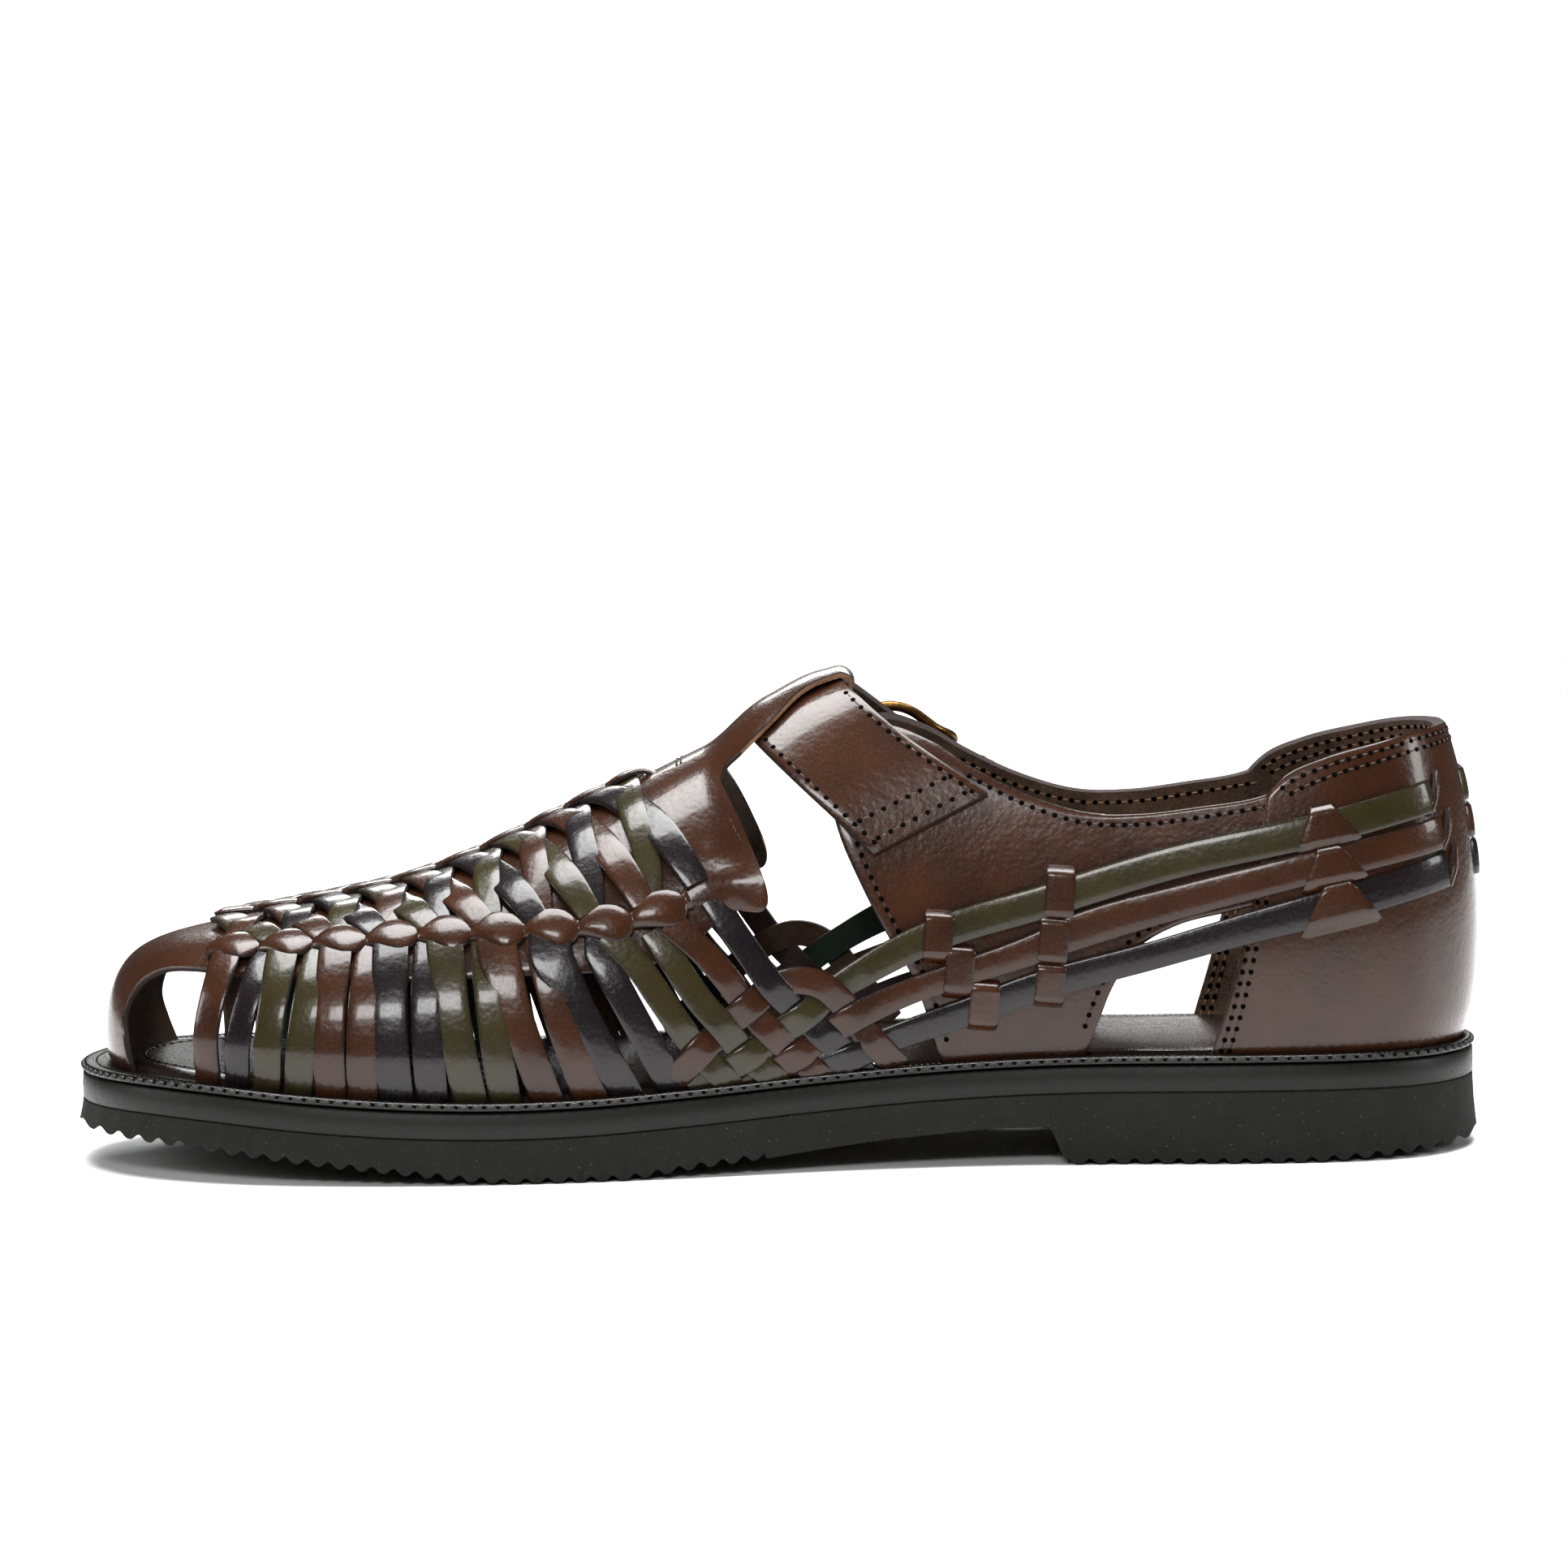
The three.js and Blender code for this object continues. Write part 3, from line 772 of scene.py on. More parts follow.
def fill_grain(nodes: Nodes, source: object) -> dict:
    """Make the grain: pebbles, pores and broad creases, and a cloudy mask.

    Args:
        nodes: the group's nodes.
        source: the group's inputs.
    Returns:
        The group's outputs.
    """
    place = source["Place"]
    cells = {"Vector": place, "Scale": source["Scale"]}
    pebble = nodes.add("ShaderNodeTexVoronoi", cells, feature="SMOOTH_F1").outputs["Distance"]
    fine = nodes.noise(place, 2600, 3, 0.6)
    broad = nodes.noise(place, 260, 4, 0.55)
    height = nodes.math("ADD", nodes.times(pebble, 0.55), nodes.times(fine, 0.25))
    height = nodes.math("ADD", height, nodes.times(broad, 1.3))
    mottle = nodes.span(nodes.noise(place, 75, 5, 0.55), 0.25, 0.75)
    return {"Height": height, "Mottle": mottle, "Fine": nodes.span(fine, 0.3, 0.7)}


def fill_burnish(nodes: Nodes, source: object) -> dict:
    """Make the mask of a burnished edge, from the distance to the rim.

    Args:
        nodes: the group's nodes.
        source: the group's inputs.
    Returns:
        The group's outputs.
    """
    rim = nodes.add("ShaderNodeAttribute", attribute_name="rim").outputs["Fac"]
    wander = nodes.times(nodes.noise(source["Place"], 420, 3), 0.5)
    depth = nodes.math("SUBTRACT", nodes.math("ADD", rim, wander), 0.25)
    mask = nodes.add("ShaderNodeMapRange", {0: depth, 1: 0.0, 2: source["Width"], 3: 1.0, 4: 0.0})
    return {"Mask": nodes.math("POWER", mask.outputs[0], 1.6)}


def fill_flecks(nodes: Nodes, source: object) -> dict:
    """Make the mask of small scattered flecks.

    Args:
        nodes: the group's nodes.
        source: the group's inputs.
    Returns:
        The group's outputs.
    """
    cells = nodes.add("ShaderNodeTexVoronoi", {"Vector": source["Place"], "Scale": source["Scale"]})
    dots = nodes.span(cells.outputs["Distance"], 0.05, 0.16, (1, 0))
    some = nodes.math("GREATER_THAN", nodes.noise(source["Place"], 900, 2), 0.56)
    return {"Mask": nodes.times(dots, some)}


GRAIN_OUTPUTS = {"Height": FLOAT, "Mottle": FLOAT, "Fine": FLOAT}
RIM_INPUTS = {"Place": (VECTOR, None), "Width": (FLOAT, 0.75)}
GRAIN = group("Leather grain", PLACE_AND_SCALE, GRAIN_OUTPUTS, fill_grain)
BURNISH = group("Burnished edge", RIM_INPUTS, {"Mask": FLOAT}, fill_burnish)
FLECKS = group("Flecks", PLACE_AND_SCALE, {"Mask": FLOAT}, fill_flecks)


def start_material(name: str) -> tuple[Material, Nodes, Node]:
    """Start a material.

    Args:
        name: the material's name.
    Returns:
        The material, its nodes and its Principled BSDF.
    """
    material = bpy.data.materials.new(name)
    material.use_nodes = True
    material.node_tree.nodes.clear()
    nodes = Nodes(material.node_tree)
    shader = nodes.add("ShaderNodeBsdfPrincipled")
    nodes.add("ShaderNodeOutputMaterial", {"Surface": shader.outputs[0]})
    return material, nodes, shader


@dataclass(frozen=True)
class Finish:
    """A finish, which its own class describes by the inputs of a Principled BSDF."""

    name: str
    light: tuple
    dark: tuple

    def make(self) -> Material:
        """Make the finish on Object coordinates.

        Returns:
            The material.
        """
        material, nodes, shader = start_material(self.name)
        place = nodes.add("ShaderNodeTexCoord").outputs["Object"]
        nodes.feed(shader, self.inputs(nodes, place))
        return material

    def inputs(self, nodes: Nodes, place: object) -> dict:
        """Return the shader's inputs, by name."""
        raise NotImplementedError


@dataclass(frozen=True)
class PolishedLeather(Finish):
    """Dyed, polished leather with a dark burnished rim."""

    rough: tuple = (0.2, 0.34)
    grain: float = 0.0003
    coat: float = 0.32
    rim_shade: float = 0.22

    def inputs(self, nodes: Nodes, place: object) -> dict:
        """Describe the leather.

        Args:
            nodes: the material's nodes.
            place: its Object coordinates.
        Returns:
            The shader's inputs.
        """
        grain = nodes.effect(GRAIN, place)
        rim = nodes.times(nodes.effect(BURNISH, place)["Mask"], 0.75)
        black = (*[self.rim_shade * c for c in self.dark[:3]], 1)
        colour = nodes.mix(grain["Mottle"], self.dark, self.light)
        return {
            "Base Color": nodes.mix(rim, colour, black),
            "Roughness": nodes.span(grain["Fine"], 0, 1, self.rough),
            "Normal": nodes.bump(grain["Height"], 0.3, self.grain),
            "Coat Weight": self.coat,
            "Coat Roughness": 0.09,
            "Specular IOR Level": 0.26,
        }


@dataclass(frozen=True)
class RawLeather(Finish):
    """A cut edge, flesh side or suede: matt, fibrous and mottled."""

    nap: float = 0.0005
    sheen: float = 0.0
    shine: float = 0.4

    def inputs(self, nodes: Nodes, place: object) -> dict:
        """Describe the leather.

        Args:
            nodes: the material's nodes.
            place: its Object coordinates.
        Returns:
            The shader's inputs.
        """
        fibres = nodes.noise(place, 1700, 4, 0.7)
        patches = nodes.noise(place, 140, 4, 0.6)
        both = nodes.math("ADD", nodes.times(fibres, 0.6), nodes.times(patches, 0.4))
        return {
            "Base Color": nodes.mix(nodes.span(both, 0.36, 0.64), self.dark, self.light),
            "Roughness": nodes.span(fibres, 0.3, 0.7, (0.7, 0.95)),
            "Normal": nodes.bump(fibres, 0.7, self.nap),
            "Sheen Weight": self.sheen,
            "Specular IOR Level": self.shine,
            "Sheen Roughness": 0.4,
        }


@dataclass(frozen=True)
class Rubber(Finish):
    """Moulded rubber with pits and pale flecks."""

    rough: tuple = (0.78, 0.95)
    flecks: float = 0.5
    pits: float = 0.0003
    shine: float = 0.25
    fleck_colour: tuple = rgb(120, 112, 106)

    def inputs(self, nodes: Nodes, place: object) -> dict:
        """Describe the rubber.

        Args:
            nodes: the material's nodes.
            place: its Object coordinates.
        Returns:
            The shader's inputs.
        """
        flecks = nodes.times(nodes.effect(FLECKS, place)["Mask"], self.flecks)
        cloud = nodes.span(nodes.noise(place, 120, 5, 0.65), 0.32, 0.68)
        colour = nodes.mix(cloud, self.dark, self.light)
        skin = nodes.noise(place, 1500, 4, 0.65)
        return {
            "Base Color": nodes.mix(flecks, colour, self.fleck_colour),
            "Roughness": nodes.span(skin, 0.3, 0.7, self.rough),
            "Normal": nodes.bump(skin, 0.6, self.pits),
            "Specular IOR Level": self.shine,
        }


@dataclass(frozen=True)
class OldBrass(Finish):
    """Antique brass with brown tarnish."""

    def inputs(self, nodes: Nodes, place: object) -> dict:
        """Describe the brass.

        Args:
            nodes: the material's nodes.
            place: its Object coordinates.
        Returns:
            The shader's inputs.
        """
        tarnish = nodes.span(nodes.noise(place, 260, 5, 0.65), 0.4, 0.68)
        return {
            "Base Color": nodes.mix(tarnish, self.light, self.dark),
            "Metallic": 1.0,
            "Roughness": nodes.span(tarnish, 0, 1, (0.22, 0.5)),
            "Normal": nodes.bump(nodes.noise(place, 1900, 3, 0.6), 0.25, 0.0002),
        }


@dataclass(frozen=True)
class WaxedThread(Finish):
    """Waxed sewing thread with a fine twist."""

    def inputs(self, nodes: Nodes, place: object) -> dict:
        """Describe the thread.

        Args:
            nodes: the material's nodes.
            place: its Object coordinates.
        Returns:
            The shader's inputs.
        """
        twist = nodes.noise(place, 3200, 2, 0.5)
        return {
            "Base Color": nodes.mix(nodes.span(twist, 0.35, 0.65), self.dark, self.light),
            "Roughness": nodes.span(twist, 0.3, 0.7, (0.35, 0.6)),
            "Normal": nodes.bump(twist, 0.7, 0.0002),
        }


def made(finish: type, name: str, light: tuple, dark: tuple, **sizes: object) -> Field:
    """Return a field that holds the material of a finish in two 8-bit screen colours."""
    return field(default_factory=finish(name, rgb(*light), rgb(*dark), **sizes).make)


@dataclass
class Finishes:
    """Every material of the sandal."""

    brown: Material = made(PolishedLeather, "Brown leather", (56, 29, 13), (36, 18, 8))
    olive: Material = made(PolishedLeather, "Olive leather", (46, 40, 19), (33, 29, 12))
    black: Material = made(PolishedLeather, "Aubergine leather", (22, 16, 19), (14, 10, 12))
    edge: Material = made(RawLeather, "Cut edge", (40, 22, 15), (16, 9, 7))
    raw_edge: Material = made(RawLeather, "Raw tan edge", (150, 112, 82), (92, 58, 38))
    brown_flesh: Material = made(RawLeather, "Brown flesh", (84, 60, 42), (40, 26, 18))
    olive_flesh: Material = made(RawLeather, "Olive flesh", (36, 58, 46), (16, 28, 22))
    black_flesh: Material = made(RawLeather, "Aubergine flesh", (66, 46, 50), (32, 20, 24))
    suede: Material = made(
        RawLeather, "Suede lining", (118, 88, 66), (34, 23, 17), nap=0.0009, sheen=0.15
    )
    footbed: Material = made(
        PolishedLeather, "Footbed leather", (34, 23, 18), (20, 13, 10), rough=(0.2, 0.32)
    )
    foam: Material = made(Rubber, "Foam rubber", (23, 23, 22), (17, 17, 16))
    band: Material = made(
        Rubber, "Sole band", (13, 13, 12), (9, 9, 8), rough=(0.38, 0.55), flecks=0.1, pits=0.00012
    )
    welt: Material = made(
        Rubber, "Welt rubber", (8, 8, 7), (5, 5, 4),
        rough=(0.14, 0.26), flecks=0.0, pits=0.00015, shine=0.35,
    )
    thread: Material = made(WaxedThread, "Brown thread", (58, 36, 25), (30, 17, 11))
    tan_thread: Material = made(WaxedThread, "Tan thread", (176, 140, 104), (118, 84, 58))
    black_thread: Material = made(WaxedThread, "Black thread", (16, 15, 15), (6, 6, 6))
    # painted shade: near-black dots that stand for the shade inside the needle holes between stitches
    hole: Material = made(RawLeather, "Needle hole", (7, 4, 3), (2, 1, 1), shine=0.03)
    brass: Material = made(OldBrass, "Old brass", (104, 76, 36), (46, 31, 16))

    def leather(self, colour: Leather, lined: bool = False) -> list[Material]:
        """Return the finishes of a leather piece: face, cut edge and underside."""
        under = self.suede if lined else getattr(self, f"{colour.name.lower()}_flesh")
        return [getattr(self, colour.name.lower()), self.edge, under]


FINISHES = Finishes()


# ---- stitches and ribs


GEOMETRY, MATERIAL = "NodeSocketGeometry", "NodeSocketMaterial"
ROW_INPUTS = {
    "Geometry": (GEOMETRY, None),
    "Pitch": (FLOAT, 0.003),
    "Bead size": (VECTOR, (0.002, 0.0006, 0.0004)),
    "Dot size": (VECTOR, (0.0005, 0.0005, 0.0002)),
    "Bead": (MATERIAL, None),
    "Dot": (MATERIAL, None),
}


def fill_row(nodes: Nodes, source: object) -> dict:
    """Set beads along lines and dots between them, upright on the attribute "up".

    Args:
        nodes: the group's nodes.
        source: the group's inputs.
    Returns:
        The group's outputs.
    """
    curve = nodes.add("GeometryNodeMeshToCurve", {0: source["Geometry"]}).outputs[0]
    made = []
    for size, label, shift in (("Bead size", "Bead", 0.5), ("Dot size", "Dot", 0.0)):
        spacing = {"Curve": curve, "Length": source["Pitch"]}
        even = nodes.first("GeometryNodeResampleCurve", spacing, mode="LENGTH")
        up = nodes.first("GeometryNodeInputNamedAttribute", {"Name": "up"}, data_type="FLOAT_VECTOR")
        tangent = nodes.first("GeometryNodeInputTangent", {})
        ahead = nodes.first("FunctionNodeAlignRotationToVector", {"Vector": tangent}, axis="X")
        turn = {"Rotation": ahead, "Vector": up}
        facing = nodes.first("FunctionNodeAlignRotationToVector", turn, axis="Z", pivot_axis="X")
        step = {0: tangent, "Scale": nodes.times(source["Pitch"], shift)}
        offset = nodes.first("ShaderNodeVectorMath", step, operation="SCALE")
        moved = nodes.first("GeometryNodeSetPosition", {"Geometry": even, "Offset": offset})
        ball = nodes.first("GeometryNodeMeshUVSphere", {"Segments": 8, "Rings": 6, "Radius": 0.5})
        smooth = nodes.first("GeometryNodeSetShadeSmooth", {"Geometry": ball})
        beads = {"Points": moved, "Instance": smooth, "Rotation": facing, "Scale": source[size]}
        copies = nodes.first("GeometryNodeInstanceOnPoints", beads)
        real = nodes.first("GeometryNodeRealizeInstances", {"Geometry": copies})
        dress = {"Geometry": real, "Material": source[label]}
        made.append(nodes.first("GeometryNodeSetMaterial", dress))
    joined = nodes.add("GeometryNodeJoinGeometry")
    for socket in made:
        nodes.tree.links.new(socket, joined.inputs[0])
    return {"Geometry": joined.outputs[0]}


ROW_TREE = group("Row along a line", ROW_INPUTS, {"Geometry": GEOMETRY}, fill_row, "Geometry")


@dataclass(frozen=True)
class Seam:
    """A row of stitches or ribs: its pitch, threads and needle holes, in millimetres; each hole is a dot of
    painted shade.
    """

    pitch: float = 2.5
    thread: tuple = (1.4, 0.4, 0.26)
    # size of the dot between beads; for stitches, the dark dot of painted shade that stands for each needle
    # hole
    hole: tuple = (1.2, 1.15, 0.36)

    def sew(self, name: str, lines: Sequence, thread: Material) -> None:
        """Sew along lines with thread of the given material and near-black dots of painted shade for the
        needle holes.
        """
        self.run(name, lines, thread, FINISHES.hole)

    def run(self, name: str, lines: Sequence, bead: Material, dot: Material) -> None:
        """Make a piece from the row, run along lines.

        Args:
            name: the piece's name.
            lines: points and normals of each line, in the shoe's millimetres.
            bead: the material of the threads or ribs.
            dot: the material of the dots between them; for stitches, near-black painted shade that stands
                for the needle holes.
        """
        inputs = {
            "Pitch": self.pitch / 1000,
            "Bead size": tuple(v / 1000 for v in self.thread),
            "Dot size": tuple(v / 1000 for v in self.hole),
            "Bead": bead,
            "Dot": dot,
        }
        mesh = bpy.data.meshes.new(name + "_lines")
        edges, first = [], 0
        for points, _ in lines:
            edges += [(first + i, first + i + 1) for i in range(len(points) - 1)]
            first += len(points)
        points, normals = [np.concatenate(part) for part in zip(*lines)]
        mesh.from_pydata(metres(points).tolist(), edges, [])
        mesh.attributes.new("up", "FLOAT_VECTOR", "POINT").data.foreach_set("vector", normals.ravel())
        holder = bpy.data.objects.new(name + "_lines", mesh)
        bpy.context.scene.collection.objects.link(holder)
        modifier = holder.modifiers.new("Row", "NODES")
        modifier.node_group = ROW_TREE
        for socket in ROW_TREE.interface.items_tree:
            if socket.in_out == "INPUT" and socket.name in inputs:
                modifier[socket.identifier] = inputs[socket.name]
        depsgraph = bpy.context.evaluated_depsgraph_get()
        made = bpy.data.meshes.new_from_object(holder.evaluated_get(depsgraph))
        made.name = name
        bpy.data.objects.remove(holder)
        place_piece(name, made)


def seam_line(path: Path, lift: float) -> tuple[Array, Array]:
    """Return a path's points, raised by lift, and its normals."""
    normals = path.normals()
    return path.points() + normals * lift, normals


# ---- the sole


@dataclass
class Sole:
    """The ripple outsole, its smooth band, the welt and the footbed."""

    length: float = 300.0
    gap: float = 0.3
    band: float = 5.4
    welt: float = 1.7
    footbed: float = 2.6
    flare: float = 0.9
    lug_pitch: float = 4.6
    lug_depth: float = 1.25
    land: float = 0.85  # where a lug's rounded side reaches its land
    breast_foot: float = 0.95
    ball_flat: tuple = (92, 119)
    tread_end: float = 147
    breast: tuple = (206.6, 211)
    heel_flat_end: float = 262
    heel_rise: float = 2
    columns: int = 640
    stations: int = 300
    underside: tuple = (
        (0, 8.4), (10, 8), (26, 7.2), (52, 4.3), (70, 2.4), (87, 0.5), (95, 0), (118, 0), (133, 2),
        (146, 3.2), (157, 4.6), (172, 6.3), (194, 8), (206.6, 8.15),
    )

    def ripple(self, x: Array, start: float, end: float) -> Array:
        """Cut a row of rounded lugs.

        Args:
            x: places along the shoe.
            start: where the row starts.
            end: where the row ends.
        Returns:
            How far the tread is cut in at each place.
        """
        count = round((end - start) / self.lug_pitch)
        share = ((x - start) / (end - start) * count) % 1
        rounded = 1 - np.abs(share - 0.5) / 0.5
        return self.lug_depth * (1 - smoothstep(rounded, 0, self.land))

    def tread(self, x: Array) -> Array:
        """Find the height of the underside.

        Args:
            x: places along the shoe.
        Returns:
            The heights there.
        """
        rows = np.array(self.underside)
        front = np.interp(x, rows[:, 0], rows[:, 1])
        flat = (x > self.ball_flat[0]) & (x < self.ball_flat[1])
        front = np.where(flat, 0, front)
        front = front + np.where(x < self.tread_end, self.ripple(x, 1, self.tread_end), 0)
        rise = self.heel_rise * (x - self.heel_flat_end) / (self.length - self.heel_flat_end)
        heel = np.maximum(rise, 0) + self.ripple(x, self.breast[1], self.length)
        step = smoothstep(x, *self.breast)
        return np.where(x < self.breast[1], front * (1 - step) + self.breast_foot * step, heel)

    def top(self, x: Array) -> Array:
        """Return the height of the welt's underside at x."""
        return LAST.feather_line(np.clip(x, 0, self.length))

    def slab(self, low: Callable, high: Callable, offsets: Sequence, rows: int = 9) -> Array:
        """Loft a slab of the sole.

        Args:
            low: height of the underside as a function of x.
            high: height of the top as a function of x.
            offsets: (height share, outward offset) of the wall's rings, from bottom to top.
            rows: points across the flat faces.
        Returns:
            The sections, columns by points by 3.
        """
        t = np.sort(np.concatenate([np.linspace(0.0015, 0.9985, self.columns // 4), self.even()]))
        inside = np.linspace(1, -1, rows + 2)[1:-1]

        def wall(side: int, share: float, offset: float) -> Array:
            """Return one ring's line along the wall of a side."""
            x, y = LAST.feather(t, side, LAST.ledge(LAST.at(t)) + offset)
            return np.stack([x, y, low(x) + (high(x) - low(x)) * share], axis=-1)

        def face(share: float, offset: float, order: Array) -> list[Array]:
            """Run lines across the slab.

            Args:
                share: 1 for the top, 0 for the underside.
                offset: outward offset of the wall there.
                order: places across, from -1 on the outer side to +1 on the inner.
            Returns:
                The lines.
            """
            near, far = wall(INNER, share, offset), wall(OUTER, share, offset)
            made = [near * (1 + place) / 2 + far * (1 - place) / 2 for place in order]
            for line in made:
                line[:, 2] = (low if share == 0 else high)(line[:, 0])
            return made

        ring = [wall(INNER, share, offset) for share, offset in offsets]
        ring += face(1, offsets[-1][1], inside)
        ring += [wall(OUTER, share, offset) for share, offset in reversed(offsets)]
        ring += face(0, offsets[0][1], inside[::-1])
        return np.stack(ring, axis=1)

    def even(self) -> Array:
        """Return stations evenly spaced along the shoe, fine enough for the lugs."""
        return LAST.station(np.linspace(LAST.toe_at + 0.5, LAST.heel_at - 0.5, self.columns))

    def outline(self, offset: float, rise: float, ledge: bool = True) -> tuple[Array, Array, Array]:
        """Run a closed line round the shoe, near the sole's top.

        Args:
            offset: distance outwards.
            rise: height above the sole's top.
            ledge: whether the offset starts at the sole's edge, or else at the feather line.
        Returns:
            The line, its outward normals and its upward ones.
        """
        t = np.linspace(0, 1, self.stations)
        lines, outs = [], []
        for side in SIDES:
            from_feather = offset + (LAST.ledge(LAST.at(t)) if ledge else 0)
            x, y = LAST.feather(t, side, from_feather)
            far_x, far_y = LAST.feather(t, side, from_feather + 1)
            line = np.stack([x, y, self.top(x) + rise], axis=-1)
            out = unit(np.stack([far_x - x, far_y - y, 0 * x], axis=-1))
            lines.append(line[::-side])
            outs.append(out[::-side])
        return np.concatenate(lines), np.concatenate(outs), np.tile([0, 0, 1.0], (2 * len(t), 1))

    def make_tread(self) -> None:
        """Make the ripple outsole."""
        shape = Shape()
        flare = self.flare
        offsets = [(0, flare - 0.5), (0.05, flare), (0.5, flare * 0.35), (0.97, 0), (1, -0.3)]
        shape.solid(self.slab(self.tread, lambda x: self.top(x) - 2 * self.gap - self.band, offsets))
        shape.build("ripple_outsole", [FINISHES.foam], "outsole")

    def make_band(self) -> None:
        """Make the smooth band above the outsole."""
        shape = Shape()
        offsets = [(0, -0.3), (0.05, 0), (0.5, 0.12), (0.93, 0), (1, -0.35)]
        low, high = self.gap + self.band + 0.25, self.gap
        shape.solid(self.slab(lambda x: self.top(x) - low, lambda x: self.top(x) - high, offsets))
        shape.build("sole_band", [FINISHES.band], "midsole")

    def make_footbed(self) -> None:
        """Make the glossy footbed, slightly dished."""
        t = np.linspace(0.002, 0.998, 150)
        w = np.linspace(-1, 1, 25)
        near, far = [np.stack(LAST.feather(t, side, -self.footbed), axis=-1)[:, None] for side in SIDES]
        share = ((w + 1) / 2)[None, :, None]
        plan = near * (1 - share) + far * share
        x = plan[..., 0]
        edge = np.maximum(0, np.abs(w) - 0.9)[None] / 0.1
        dish = 0.9 * (1 - w**2)[None] * smoothstep(x, 190, 235)
        high = self.top(x) + self.footbed - dish - 0.5 * edge**2
        upper = np.dstack([plan, high])
        lower = np.dstack([plan, self.top(x) - 0.1])
        shape = Shape()
        shape.slab(upper, lower, rim_distance(upper))
        finishes = [FINISHES.footbed, FINISHES.edge, FINISHES.edge]
        shape.build("footbed", finishes, "insole")
        line, _, up = self.outline(-13.5, self.footbed + 0.02)
        front = line[:, 0] < 70
        order = np.argsort(np.arctan2(line[front, 1] + 5, 90 - line[front, 0]))
        row = (line[front][order], up[front][order])
        Seam(3.0, (2.1, 0.6, 0.4)).sew("footbed_stitches", [row], FINISHES.black_thread)

    def make_welt(self) -> None:
        """Make the welt: a ring with a rounded lip, cross ribs on top and a bead of stitches."""
        shape = Shape()
        lip = ((-0.35, 0), (-0.05, 0.35), (0.0, 0.9), (-0.3, 1.5), (-0.9, 1.75), (-2.2, 1.6))
        rings = [self.outline(offset, rise)[0] for offset, rise in lip]
        rings += [self.outline(0.2, rise, ledge=False)[0] for rise in (1.45, 0)]
        shape.solid(np.stack(rings, axis=1), closed=True)
        shape.build("welt_strip", [FINISHES.welt], "welt")
        line, _, up = self.outline(-1.7, 1.62)
        ribs = Seam(1.25, (0.62, 3.0, 0.5), (0.1, 0.1, 0.1))
        ribs.run("welt_ribs", [(line, up)], FINISHES.welt, FINISHES.welt)
        line, out, _ = self.outline(-0.12, 0.95)
        stitches = Seam(2.9, (2.5, 1.15, 1.15), (0.8, 0.8, 0.6))
        stitches.sew("welt_stitches", [(line, out)], FINISHES.black_thread)

    def make(self) -> None:
        """Make all of the sole."""
        self.make_tread()
        self.make_band()
        self.make_footbed()
        self.make_welt()


# ---- the vamp and its weave

BAND_PLACE = run_of(
    (29.8, -0.385), (39, -0.395), (52, -0.417), (62, -0.436), (73, -0.459), (84.5, -0.509), (95.5, -0.555),
    (107, -0.598), (119, -0.626), (131, -0.62),
)
NEAR_PITCH = 11.2
NEAR_START = 29.8
SPINE_NOTCHES = (25.7, 37.7, 47.2, 56.9, 67.7, 77.4, 87.0, 96.7, 105.1, 114.2, 121.5)
LONG_COLOURS = (BROWN, BLACK, OLIVE)
LEAF_COLOURS = (OLIVE, BROWN, BLACK)
V_SCALE = 40  # millimetres that one unit of v is taken as, to space a line's points


def across_weave(rows: Sequence[tuple[float, float, float]], count: int) -> Path:
    """Lay a line through (x, v, lift) points on the inner side.

    Args:
        rows: control points.
        count: how many points the line has.
    Returns:
        The line.
    """
    line = spline([(x, v * V_SCALE, lift) for x, v, lift in rows], count)
    v = line[:, 1] / V_SCALE
    return Path(LAST.station_at(line[:, 0], v), v, line[:, 2])


